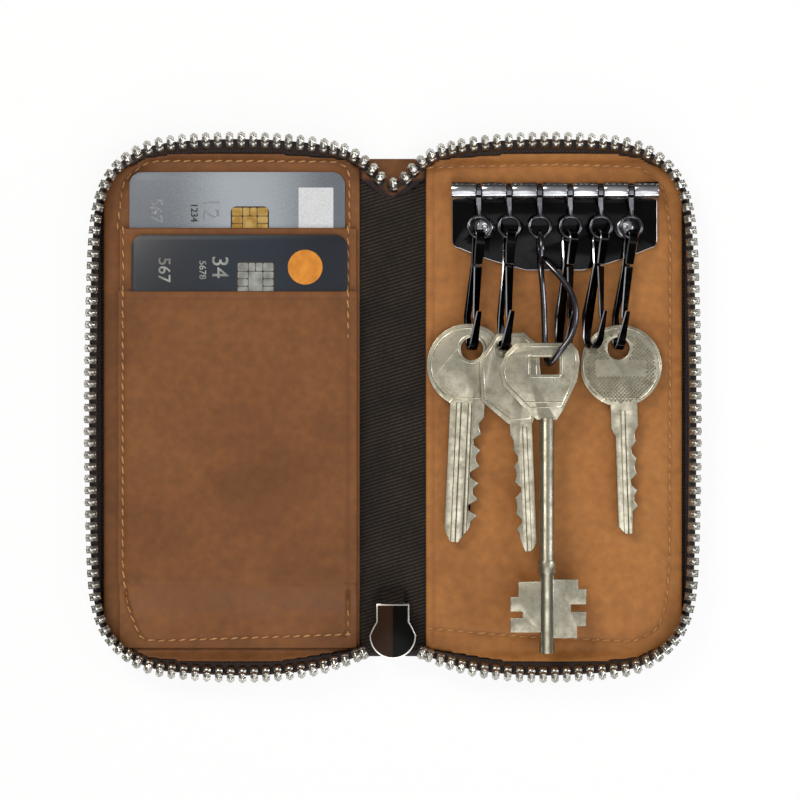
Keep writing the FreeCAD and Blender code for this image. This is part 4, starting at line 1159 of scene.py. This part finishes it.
@dataclass
class Zip:
    """Metal teeth, woven tape, slider, pull tab and the closed end of the chain."""

    shop: Workshop
    tooth_height_mm: float = 4.2
    head_mm: float = 1.89
    tooth_length_mm: float = 2.05
    tooth_width_mm: float = 2.8
    pitch_mm: float = 3.05
    last_pitch: float = 0.65
    fold_mm: tuple[float, float] = (5.0, 11.0)
    run_middle_mm: float = 38.0
    tape_half_mm: float = 0.33
    tape_foot_mm: float = 1.45
    tape_end: float = 0.56
    tape_strips: int = 8

    def tooth(self) -> Piece:
        """One tooth: a rounded head on two legs; up is +Z, along the row is +X."""
        work = bmesh.new()
        length, width = self.tooth_length_mm, self.tooth_width_mm
        leg_height = self.tooth_height_mm - self.head_mm
        bmesh.ops.create_cube(work, size=1.0)
        for vert in work.verts:
            x, y, z = vert.co
            taper = 0.80 if z > 0 else 1.0
            vert.co = Vector((x * length * taper, y * width * (taper + 0.04), (z - 0.5) * self.head_mm))
        bmesh.ops.bevel(work, geom=list(work.edges), offset=0.45, segments=3, affect="EDGES",
                        clamp_overlap=True)
        for side in (-1, 1):
            for vert in bmesh.ops.create_cube(work, size=1.0)["verts"]:
                x, y, z = vert.co
                narrow = 0.82 if z < 0 else 1.0
                vert.co = Vector((x * length * 0.9 * narrow, side * (width / 2 - 0.27) + y * 0.5,
                                  -self.head_mm + 0.15 + (z - 0.5) * leg_height))
        work.transform(Matrix.Scale(MM, 4))
        tooth = link_work("tooth", work)
        # The legs below the head are painted darker: partly patina, partly painted shade between the teeth.
        depth = -corners_of(tooth)[:, 2] / MM
        paint(tooth, "patina", np.clip((depth - 1.7) / 0.8, 0, 0.9))
        return tooth

    def stations(self, row: Sequence[ToothPlace]) -> list[tuple[Vector, Vector, float]]:
        """Line a row of teeth up for the tape: point, up direction and way gone, three for each tooth."""
        (first, second), (ahead, last) = row[:2], row[-2:]
        marks = [(first.top + (first.top - second.top) * self.tape_end, first.up),
                 *((tooth.top, tooth.up) for tooth in row),
                 (last.top + (last.top - ahead.top) * self.tape_end, last.up)]
        lines, length = [], 0.0
        for (a, a_up), (b, b_up) in zip(marks, marks[1:]):
            for share in (0, 1 / 3, 2 / 3):
                lines.append((a.lerp(b, share), a_up.lerp(b_up, share).normalized(), length))
                length += (b - a).length / 3
        return lines + [(*marks[-1], length)]

    def tape(self, name: str, rows: Sequence[Sequence[ToothPlace]]) -> Piece:
        """The tape under some rows of teeth.

        Args:
            name: Name of the piece.
            rows: Teeth of each run, in order.

        Returns:
            One mesh with a UV map in metres along and across the tape.
        """
        verts: list[Vector] = []
        faces: list[tuple[int, ...]] = []
        uvs: list[tuple[float, float]] = []
        below = (self.head_mm + 0.25) * MM
        ring = 2 * (self.tape_strips + 1)
        across = [*range(self.tape_strips + 1)]
        for row in rows:
            lines, start = self.stations(row), len(verts)
            for index, (top, up, distance) in enumerate(lines):
                after = lines[min(index + 1, len(lines) - 1)][0] - lines[max(index - 1, 0)][0]
                out = after.cross(up).normalized()
                drop = (top.z - self.tape_foot_mm * MM) / up.z
                for side, steps in ((1, across), (-1, across[::-1])):
                    for step in steps:
                        down = below + (drop - below) * step / self.tape_strips
                        verts.append(top - up * down + out * side * self.tape_half_mm * MM)
                        uvs.append((distance, down))
            rings = [range(start + index * ring, start + (index + 1) * ring) for index in range(len(lines))]
            faces += [(here[step], here[step + 1 - ring], there[step + 1 - ring], there[step])
                      for here, there in zip(rings, rings[1:]) for step in range(ring)]
            faces += [tuple(reversed(rings[0])), tuple(rings[-1])]
        mesh = bpy.data.meshes.new(name)
        mesh.from_pydata(verts, [], faces)
        layer = mesh.uv_layers.new(name="tape")
        for loop in mesh.loops:
            layer.data[loop.index].uv = uvs[loop.vertex_index]
        work = bmesh.new()
        work.from_mesh(mesh)
        bmesh.ops.recalc_face_normals(work, faces=work.faces)
        work.to_mesh(mesh)
        work.free()
        return dress(link(name, mesh), self.shop.palette.tape)

    def leaf_run(self, places: list[ToothPlace], half: Half) -> list[ToothPlace]:
        """A leaf's teeth in order along the zip."""
        middle = self.run_middle_mm * MM
        return sorted(places, key=lambda place: math.atan2(place.top.y, half.value * place.top.x - middle))

    @staticmethod
    def short_runs(places: list[ToothPlace], half: Half) -> list[list[ToothPlace]]:
        """The teeth at a leaf's two ends of the spine, each from the middle line outwards."""
        near = [place for place in sorted(places, key=lambda place: abs(place.top.x))
                if place.top.x * half.value > 0]
        return [[place for place in near if (place.top.y > 0) == upper] for upper in (False, True)]

    def between(self, first: ToothPlace, last: ToothPlace) -> list[ToothPlace]:
        """Teeth that fill the fold between the end of a short run and the first tooth of a leaf's run."""
        way = last.top - first.top
        count = round(way.length / (self.pitch_mm * MM))
        shares = [index / count for index in range(1, count)]
        return [ToothPlace(first.top.lerp(last.top, share), first.up.lerp(last.up, share).normalized(), way)
                for share in shares]

    def closed(self, run: list[ToothPlace], half: Half) -> list[ToothPlace]:
        """What ends a short run at the middle line: a tooth by the slider, a stop at the other end."""
        first, second = run[:2]
        if first.top.y < 0:
            reach = 1 + self.last_pitch
            return [ToothPlace(first.top * reach - second.top * self.last_pitch, first.up, first.along)]
        if half is Half.CARDS:
            return []
        step = first.top * 2 - second.top
        return [ToothPlace(Vector((0, step.y + 0.5 * MM, step.z)), first.up, ALONG_X)]

    def slider(self) -> None:
        """Slider body, its mirror face with a bright rim, and the pull tab."""
        palette = self.shop.palette
        body = dress(eased(node_copy("zip_slider", "slider_body"), 0.16), palette.bright)
        settle(body, "slider", "slider_metal", "zip_slider")
        (_, foot, _), (_, tail, top) = box_mm("zip_slider")
        for name, inset, low, high, edge, finish in (("slider_face", 0.32, 0.2, 0.09, 0.06, palette.mirror),
                                                     ("slider_rim", 0.0, 0.25, 0.05, 0.12, palette.teeth)):
            part = solid_from_outline(name, self.plate_outline(tail, foot, inset), top - low, top + high)
            settle(dress(eased(part, edge), finish), "slider", "slider_metal")
        tab = dress(eased(node_copy("pull_tab", "pull_tab_finish"), 0.2), palette.bright)
        settle(tab, "pull_tab", "slider_metal", "pull_tab")

    @staticmethod
    def plate_outline(tail: float, foot: float, inset: float) -> list[Point2]:
        """Outline of the slider's face: straight end, narrow neck, flare and round nose, in millimetres."""
        half_tail, half_mouth, nose = 4.1 - inset, 5.8 - inset, 5.6
        turns = [math.radians(angle) for angle in range(0, 95, 9)]
        right = [(half_mouth * math.sin(turn), foot + nose - (nose - inset) * math.cos(turn))
                 for turn in turns]
        right += [(half_mouth, foot + 5.9), (half_tail + 0.9, foot + 7.6), (half_tail, foot + 9.2),
                  (half_tail, tail - inset)]
        return right + [(-x, y) for x, y in reversed(right[1:])]

    def lay(self, name: str, runs: list[list[ToothPlace]], tooth: Piece, half: Half,
            bent: bool = False) -> None:
        """Set one part of the chain and its tape, on a leaf or at the spine's fold.

        Args:
            name: Name of the part.
            runs: Its teeth in order along the tape.
            tooth: One tooth.
            half: The side it lies on.
            bent: Whether it belongs to the spine.
        """
        places = [(place.top, place.up, place.along) for run in runs for place in run]
        teeth = self.shop.on_points(f"teeth_{name}", places, tooth, self.shop.palette.teeth)
        tape = self.tape(f"tape_{name}", runs)
        for piece, slot, node in ((teeth, "zip_metal", "zip_teeth_"), (tape, "zip_tape", "zip_tape_")):
            if bent:
                settle_bent(piece, half, self.fold_mm, slot, node + "spine")
            else:
                settle(piece, half.body, slot, node + name)

    def build(self) -> None:
        """Make all of the zip."""
        tooth, ends = self.tooth(), []
        for half in Half:
            run = self.leaf_run(places_of("zip_teeth_" + half.side), half)
            self.lay(half.side, [run], tooth, half)
            ends += [run[0], run[-1]]
        spine = places_of("zip_teeth_spine")
        for half in Half:
            runs = []
            for run in self.short_runs(spine, half):
                end = min(ends, key=lambda p: (p.top - run[-1].top).length)
                runs.append(self.closed(run, half) + run + self.between(run[-1], end))
            self.lay("spine_" + half.side, runs, tooth, half, bent=True)
        bpy.data.objects.remove(tooth)
        tail = dress(eased(node_copy("zip_tail", "chain_end"), 0.25), self.shop.palette.lining)
        settle(tail, "spine", "zip_metal", "zip_tail")
        self.slider()


# ---------------------------------------------------------------------------------------------------
# Key rail, links and clips
# ---------------------------------------------------------------------------------------------------
@dataclass
class KeyRail:
    """Black-nickelled hardware: the pressed plate with rolled knuckles, rivets, links, clips and gates."""

    shop: Workshop
    plate_edge_mm: float = 0.18
    strip_edge_mm: float = 0.22
    wire_gain_mm: float = 0.25
    polish_mm: float = 0.4
    hooks: int = 6
    wire_clip: int = 3
    twist_deg: float = 52.0
    eye_share: float = 0.2

    def twist(self, hook: Piece, pieces: Sequence[Piece]) -> None:
        """Turn a hook's two arms about its long middle line, most halfway down and none at its two ends.

        Args:
            hook: The hook that gives the line.
            pieces: The hook and its gate.
        """
        rows = corners_of(hook)
        middle, axes = (rows.min(0) + rows.max(0)) / 2, main_axes(rows)
        long_way, wide = axes[:, 2] * -np.sign(axes[1, 2]), axes[:, 1] * np.sign(axes[2, 1])
        reach = (rows - middle) @ long_way
        # The arms turn the nearer way down to the flat.
        sense = 1.0 if np.cross(long_way, wide)[2] < 0 else -1.0
        for piece in pieces:
            rows = corners_of(piece) - middle
            share = np.clip((rows @ long_way - reach.min()) / (reach.max() - reach.min()), 0, 1)
            # The eye stays square to its ring.
            share = np.clip((share - self.eye_share) / (1 - self.eye_share), 0, 1)
            angle = sense * math.radians(self.twist_deg) * np.sin(math.pi * share) ** 1.2
            along = np.outer(rows @ long_way, long_way)
            flat = rows - along
            turned = flat * np.cos(angle)[:, None] + np.cross(long_way, flat) * np.sin(angle)[:, None]
            set_corners(piece, middle + along + turned)

    def clip(self, number: int) -> None:
        """Finish one clip: bent wire, or a strip hook with its gate."""
        palette, node = self.shop.palette, f"clip_{number}"
        hook = node_copy(node, f"hook_{number}")
        if number == self.wire_clip:
            set_corners(hook, corners_of(hook) + normals_of(hook) * self.wire_gain_mm * MM)
            settle(dress(hook, palette.wire, 60), node, "hook_metal", node)
            return
        gate = node_copy(f"gate_{number}", f"spring_{number}")
        self.twist(hook, (hook, gate))
        for piece, body in ((hook, node), (gate, f"gate_{number}")):
            # The rounded edges of hook and gate take the lighter black nickel: a painted highlight.
            eased(piece, self.strip_edge_mm, 1, 40, (palette.hooks, palette.bright))
            settle(dress(piece, None, 20), body, "hook_metal", body)

    def build(self) -> None:
        """Finish every piece of hardware."""
        palette = self.shop.palette
        # The plate's rounded edges take the lighter black nickel: a painted highlight.
        plate = eased(node_copy("rail_plate", "rail_pressing"), self.plate_edge_mm,
                      finishes=(palette.hooks, palette.bright))
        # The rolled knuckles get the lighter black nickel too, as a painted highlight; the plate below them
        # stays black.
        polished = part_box("rail_rod")[0].z - self.polish_mm * MM
        for face in plate.data.polygons:
            if face.center.z > polished:
                face.material_index = 1
        settle(dress(plate, None), "right_half", "hook_metal", "rail_plate")
        for node, name, edge, finish in (("rail_rod", "rail_pin", 0.2, palette.hooks),
                                         ("rail_rivets", "eyelet_rivets", 0.18, palette.bright)):
            settle(dress(eased(node_copy(node, name), edge), finish), "right_half", "hook_metal", node)
        for number in range(1, self.hooks + 1):
            ring = dress(node_copy(f"link_{number}", f"ring_{number}"), palette.wire, 50)
            settle(ring, f"link_{number}", "hook_metal", f"link_{number}")
            self.clip(number)


# ---------------------------------------------------------------------------------------------------
# Keys
# ---------------------------------------------------------------------------------------------------
@dataclass
class Keys:
    """Worn nickel-silver keys with their stamped borders and the knurled bow."""

    shop: Workshop
    joints: dict[str, Vector]
    edge_mm: float = 0.22
    bow_mm: float = 12.0
    knurl_pitch_mm: float = 0.95
    bead_mm: float = 0.22
    turn_deg: float = 2.4

    def blank(self, number: int) -> float:
        """One key with tumbled edges; returns the level of its bow's upper face, in millimetres."""
        node = f"key_{number}"
        key = dress(eased(node_copy(node, f"key_blank_{number}"), self.edge_mm), self.shop.palette.key)
        settle(key, node, "key_metal", node)
        rows = corners_of(key)
        bow = rows[rows[:, 1] > rows[:, 1].max() - self.bow_mm * MM]
        return float(bow[:, 2].max()) / MM

    def bead(self, name: str, line: Sequence[Point2], level: float, closed: bool = False) -> Piece:
        """A raised border line stamped on a bow, half sunk in its face."""
        curve = bpy.data.curves.new(name, "CURVE")
        curve.dimensions, curve.bevel_depth, curve.bevel_resolution = "3D", self.bead_mm * MM, 2
        spline = curve.splines.new("POLY")
        spline.points.add(len(line) - 1)
        for point, (x, y) in zip(spline.points, line):
            point.co = (x * MM, y * MM, (level - self.bead_mm * 0.45) * MM, 1)
        spline.use_cyclic_u = closed
        curve.use_fill_caps = True
        return dress(link_curve(name, curve), self.shop.palette.key)

    @staticmethod
    def circle(x: float, y: float, radius: float, first: float = 0, last: float = 360) -> list[Point2]:
        """Points round an arc, in degrees and millimetres, without its last one."""
        steps = int((last - first) / 9)
        return arc(x, y, radius, first, last, (last - first) / steps)[:-1]

    def knurl(self, x: float, y: float, radius: float, level: float, hole: tuple[float, float, float],
              label: tuple[float, float]) -> Piece:
        """Small pyramids over a round bow, clear of its hole and its blank label.

        Args:
            x: Middle of the bow, in millimetres, as are all the others.
            y: Middle of the bow.
            radius: Reach of the pyramids.
            level: The bow's upper face.
            hole: Middle and radius of the bare ring round the hole.
            label: Half width and half height of the blank label on the bow's middle.

        Returns:
            One mesh.
        """
        work = bmesh.new()
        bmesh.ops.create_cone(work, segments=4, radius1=0.52 * MM, radius2=0.12 * MM, depth=0.22 * MM,
                              cap_ends=True)
        pyramid = link_work("pyramid", work)
        places, half_pitch, count = [], self.knurl_pitch_mm * 0.5, 2 * int(radius / self.knurl_pitch_mm) + 2
        for i in range(-count, count + 1):
            for j in range(-count, count + 1):
                dx, dy = (i + j) * half_pitch, (i - j) * half_pitch
                if (math.hypot(dx, dy) <= radius and not (abs(dx) < label[0] and abs(dy) < label[1])
                        and math.hypot(x + dx - hole[0], y + dy - hole[1]) >= hole[2]):
                    places.append((Vector(((x + dx) * MM, (y + dy) * MM, (level + 0.03) * MM)), UP, ALONG_X))
        result = self.shop.on_points("bow_knurl", places, pyramid, self.shop.palette.key)
        result.data.set_sharp_from_angle(angle=math.radians(20))
        bpy.data.objects.remove(pyramid)
        return result

    def stamping(self, number: int, x: float, y: float, level: float) -> list[Piece]:
        """What is raised on one key's bow, placed from the middle of its hole."""
        if number == 1:
            shoulder = [(x - 5.6, y - 13.4), (x - 4.6, y - 12.3), (x + 2.6, y - 12.3), (x + 3.8, y - 13.4)]
            return [self.bead("bow_border_1", self.circle(x - 0.9, y - 4.1, 9.3, -62, 242), level),
                    self.bead("hole_ring_1", self.circle(x, y, 3.5), level, closed=True),
                    self.bead("shoulder_1", shoulder, level)]
        if number == 2:
            shape = [(-5.2, -2.9), (-1.2, 2.9), (5.0, 2.9), (7.9, 0.0), (7.9, -11.2), (5.9, -17.6),
                     (1.0, -17.6), (-5.2, -12.2)]
            cos, sin = math.cos(math.radians(self.turn_deg)), math.sin(math.radians(self.turn_deg))
            line = [(x + a * cos - b * sin, y + a * sin + b * cos) for a, b in shape]
            return [self.bead("bow_border_2", line, level, closed=True)]
        if number == 3:
            x, y = x - 1.1, y - 0.5
            shape = [(-6.5, 4.8), (6.0, 4.8), (7.3, 3.2), (7.6, 0.8), (7.0, -3.6), (4.0, -10.2),
                     (-3.8, -10.4), (-9.4, -4.6), (-10.2, -1.5), (-9.0, 2.4)]
            slot = rounded_box(x - 4.2, x + 4.2, y - 2.8, y + 2.7, 0.9)
            return [self.bead("bow_border_3", [(x + a, y + b) for a, b in shape], level, closed=True),
                    self.bead("slot_border_3", slot, level, closed=True),
                    self.bead("bow_line_3", [(x - 5.6, y - 9.0), (x + 4.4, y - 9.0)], level)]
        shoulder = [(x - 4.2, y - 13.3), (x - 3.2, y - 12.4), (x + 4.6, y - 12.4), (x + 5.6, y - 13.3)]
        return [self.bead("bow_border_4", self.circle(x + 0.6, y - 4.3, 9.5, -60, 240), level),
                self.bead("shoulder_4", shoulder, level),
                self.knurl(x + 0.6, y - 4.9, 8.6, level, (x, y, 3.6), (6.4, 2.2))]

    def build(self) -> None:
        """Make the four keys."""
        for number in (1, 2, 3, 4):
            level = self.blank(number)
            hole = self.joints[f"key_{number}_swing"] / MM
            for part in self.stamping(number, hole.x, hole.y, level):
                settle(part, f"key_{number}", "key_metal")


# ---------------------------------------------------------------------------------------------------
# Bank cards
# ---------------------------------------------------------------------------------------------------
@dataclass(frozen=True)
class CardFace:
    """What is printed and embossed on one card, measured from its top left corner, in millimetres."""

    node: str
    slot: str
    chip_at: Point2
    digits: tuple[tuple[str, float, Point2], ...]
    label: tuple[float, float, float, float] | None = None
    patch: tuple[float, float, float] | None = None


UPPER = CardFace("card_upper", "card_grey", (25.4, 8.6),
                 (("12", 4.6, (18.6, 6.3)), ("1234", 1.9, (15.5, 7.8)), ("567", 3.4, (5.4, 6.4))),
                 label=(42.4, 3.9, 8.7, 26.0))
LOWER = CardFace("card_lower", "card_dark", (26.2, 6.7),
                 (("34", 4.6, (20.2, 5.2)), ("5678", 1.9, (17.0, 6.4)), ("567", 3.4, (6.8, 5.6))),
                 patch=(43.4, 8.1, 4.35))


@dataclass
class Cards:
    """The two bank cards: laminate, chip, plain label or patch, and generic raised digits."""

    shop: Workshop
    chip_size_mm: Point2 = (9.6, 8.6)
    print_mm: float = 0.03

    def digits(self, name: str, text: str, height: float, at: Point2, level: float,
               finish: Material) -> Piece:
        """Raised digits that read down the card.

        Args:
            name: Name of the piece.
            text: The digits.
            height: Digit height in millimetres.
            at: Start of the row, in millimetres.
            level: The card's upper face, in millimetres.
            finish: Foil on the digits.

        Returns:
            The digits as a mesh.
        """
        curve = bpy.data.curves.new(name, "FONT")
        curve.body, curve.size = text, height * 1.25 * MM
        curve.extrude, curve.bevel_depth = 0.05 * MM, 0.03 * MM
        place = Matrix.Translation((at[0] * MM, at[1] * MM, (level + 0.02) * MM))
        return dress(link_curve(name, curve, place @ Matrix.Rotation(-math.pi / 2, 4, "Z")), finish)

    def chip(self, name: str, x: float, y: float, level: float, metal: Material) -> Piece:
        """A contact chip: eight pads round a middle one on a dark seam, from its top left corner."""
        wide, tall = self.chip_size_mm
        ground = rounded_box(x, x + wide, y - tall, y, 1.5)
        base = solid_from_outline("base", ground, level - 0.05, level + 0.03)
        half_gap, rim, pads = 0.08, 0.25, [dress(base, self.shop.palette.seam)]
        columns = (rim, 0.31 * wide, 0.69 * wide, wide - rim)
        levels = [y - tall + rim + (tall - 2 * rim) * share for share in (0, 0.27, 0.5, 0.73, 1)]
        cells = [(*columns[side:side + 2], *levels[i:i + 2]) for side in (0, 2) for i in range(4)]
        cells += [(columns[1], wide / 2, *levels[3:]), (wide / 2, columns[2], *levels[3:]),
                  (columns[1], columns[2], levels[0], levels[3])]
        for x0, x1, y0, y1 in cells:
            outline = rounded_box(x + x0 + half_gap, x + x1 - half_gap, y0 + half_gap, y1 - half_gap, 0.35)
            pads.append(dress(solid_from_outline("pad", outline, level - 0.04, level + 0.06), metal))
        return join(pads, name)

    def card(self, face: CardFace, laminate: Material, metal: Material, foils: Sequence[Material]) -> None:
        """Make one card.

        Args:
            face: What is on it.
            laminate: Its plastic.
            metal: The chip's pads.
            foils: Finish of each row of digits.
        """
        body = dress(eased(node_copy(face.node, face.node + "_laminate"), 0.12), laminate)
        settle(body, face.node, face.slot, face.node)
        (left, _, _), (_, top, level) = box_mm(face.node)
        parts = [self.chip(face.node + "_chip", left + face.chip_at[0], top - face.chip_at[1], level, metal)]
        for index, ((text, height, (x, y)), foil) in enumerate(zip(face.digits, foils)):
            name = f"{face.node}_digits_{index}"
            parts.append(self.digits(name, text, height, (left + x, top - y), level, foil))
        prints = []
        if face.label:
            x, y, wide, tall = face.label
            prints.append(("_label", rounded_box(left + x, left + x + wide, top - y - tall, top - y, 0.25),
                           self.shop.palette.white))
        if face.patch:
            x, y, radius = face.patch
            prints.append(("_patch", arc(left + x, top - y, radius, 0, 350, 10), self.shop.palette.amber))
        for name, outline, ink in prints:
            flat = solid_from_outline(face.node + name, outline, level - self.print_mm, level + self.print_mm)
            parts.append(dress(flat, ink))
        for part in parts:
            settle(part, face.node, face.slot)

    def build(self) -> None:
        """Make both cards."""
        palette = self.shop.palette
        self.card(UPPER, palette.grey_card, palette.gold, (palette.bright, palette.seam, palette.bright))
        self.card(LOWER, palette.dark_card, palette.chip, (palette.chip,) * 3)


# ---------------------------------------------------------------------------------------------------
# Stage
# ---------------------------------------------------------------------------------------------------
@dataclass(frozen=True)
class Lamp:
    """A rectangular lamp that faces the wallet; place and size in metres."""

    name: str
    place: tuple[float, float, float]
    size: tuple[float, float]
    power: float
    tint: str


@dataclass
class Studio:
    """Pale floor, soft lamps and a long lens straight above the open wallet."""

    aim_mm: tuple[float, float, float] = (1.8, 1.9, 5.0)
    view_width_mm: float = 200.0
    lens_mm: float = 150.0
    sensor_mm: float = 36.0
    lamps: tuple[Lamp, ...] = (Lamp("key_lamp", (-0.42, 0.50, 0.75), (0.45, 0.30), 3.2, "#fffaf2"),
                               Lamp("strip_lamp", (0.10, -0.62, 0.42), (0.80, 0.10), 1.2, "#ffffff"),
                               Lamp("side_lamp", (0.62, 0.10, 0.45), (0.14, 0.60), 1.4, "#f6f9ff"))

    def floor(self) -> None:
        """A white floor that keeps a faint shadow and shows white to the camera and in reflections."""
        bpy.ops.mesh.primitive_plane_add(size=6.0, location=(0, 0, -0.02 * MM))
        floor = bpy.context.object
        floor.name = "floor"
        material = bpy.data.materials.new("floor_paper")
        tree = empty_tree(material)
        path = add(tree, "ShaderNodeLightPath").outputs
        seen = compute(tree, "MAXIMUM", path["Is Camera Ray"], path["Is Glossy Ray"])
        paper = add(tree, "ShaderNodeBsdfDiffuse", {"Color": linear("#f4f4f2")})
        glow = add(tree, "ShaderNodeEmission", {"Color": linear("#ffffff"), "Strength": 1.03})
        share = compute(tree, "MULTIPLY", seen, 0.87)
        mixed = add(tree, "ShaderNodeMixShader", {0: share, 1: paper.outputs[0], 2: glow.outputs[0]})
        add(tree, "ShaderNodeOutputMaterial", {"Surface": mixed.outputs[0]})
        floor.data.materials.append(material)
        floor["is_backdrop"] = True

    @staticmethod
    def hang(lamp: Lamp) -> None:
        """Hang up a lamp."""
        data = bpy.data.lights.new(lamp.name, "AREA")
        data.shape, (data.size, data.size_y), data.energy = "RECTANGLE", lamp.size, lamp.power
        data.color = linear(lamp.tint)[:3]
        piece = bpy.data.objects.new(lamp.name, data)
        piece.location = lamp.place
        piece.rotation_euler = (-Vector(lamp.place)).to_track_quat("-Z", "Y").to_euler()
        bpy.context.scene.collection.objects.link(piece)

    @staticmethod
    def world() -> bpy.types.World:
        """A white ceiling in a darker room, with a soft box above the foot of the wallet."""
        world = bpy.data.worlds.new("studio")
        tree = empty_tree(world)
        sky = add(tree, "ShaderNodeTexCoord").outputs["Generated"]
        rise = add(tree, "ShaderNodeSeparateXYZ", {0: sky}).outputs[2]
        level = remap(tree, rise, (0.55, 1.0), (0.08, 0.42))
        # The soft box shows as a broad bright band in round metal.
        facing = add(tree, "ShaderNodeVectorMath", {0: sky, 1: (0.0, -0.5, 0.866)}, operation="DOT_PRODUCT")
        box = remap(tree, facing.outputs["Value"], (0.90, 0.925), (0.0, 1.35))
        glow = add(tree, "ShaderNodeBackground", {"Color": linear("#ffffff"),
                                                  "Strength": compute(tree, "ADD", level, box)})
        add(tree, "ShaderNodeOutputWorld", {"Surface": glow.outputs[0]})
        return world

    def build(self) -> None:
        """Place the floor, lamps, world and camera."""
        scene = bpy.context.scene
        scene.view_settings.view_transform = "Standard"
        self.floor()
        for lamp in self.lamps:
            self.hang(lamp)
        scene.world = self.world()
        lens = bpy.data.cameras.new("camera")
        lens.lens, lens.sensor_width = self.lens_mm, self.sensor_mm
        camera = bpy.data.objects.new("camera", lens)
        x, y, z = self.aim_mm
        camera.location = (x * MM, y * MM, (z + self.view_width_mm * self.lens_mm / self.sensor_mm) * MM)
        scene.collection.objects.link(camera)
        scene.camera = camera


def corners(box: tuple[Vector, Vector]) -> list[list[float]]:
    """A box as plain lists."""
    return [[float(value) for value in corner] for corner in box]


def main() -> None:
    """Build the wallet on the frame, one sub-assembly after another."""
    logging.basicConfig(level=logging.INFO, format="%(name)s: %(message)s")
    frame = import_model()
    cad_box = corners(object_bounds())
    joints = {joint["name"]: Vector(joint["pos_m"]) for joint in frame["joints"] if "pos_m" in joint}
    shop = Workshop(Palette())
    for half in Half:
        OuterSheet(shop, half).build()
        LiningSheet(shop, half).build()
    for part in (InnerLeather(shop), Zip(shop), KeyRail(shop), Keys(shop, joints), Cards(shop), Studio()):
        part.build()
    {"cad": cad_box, "visual": corners(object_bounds())}


if __name__ == "__main__":
    main()
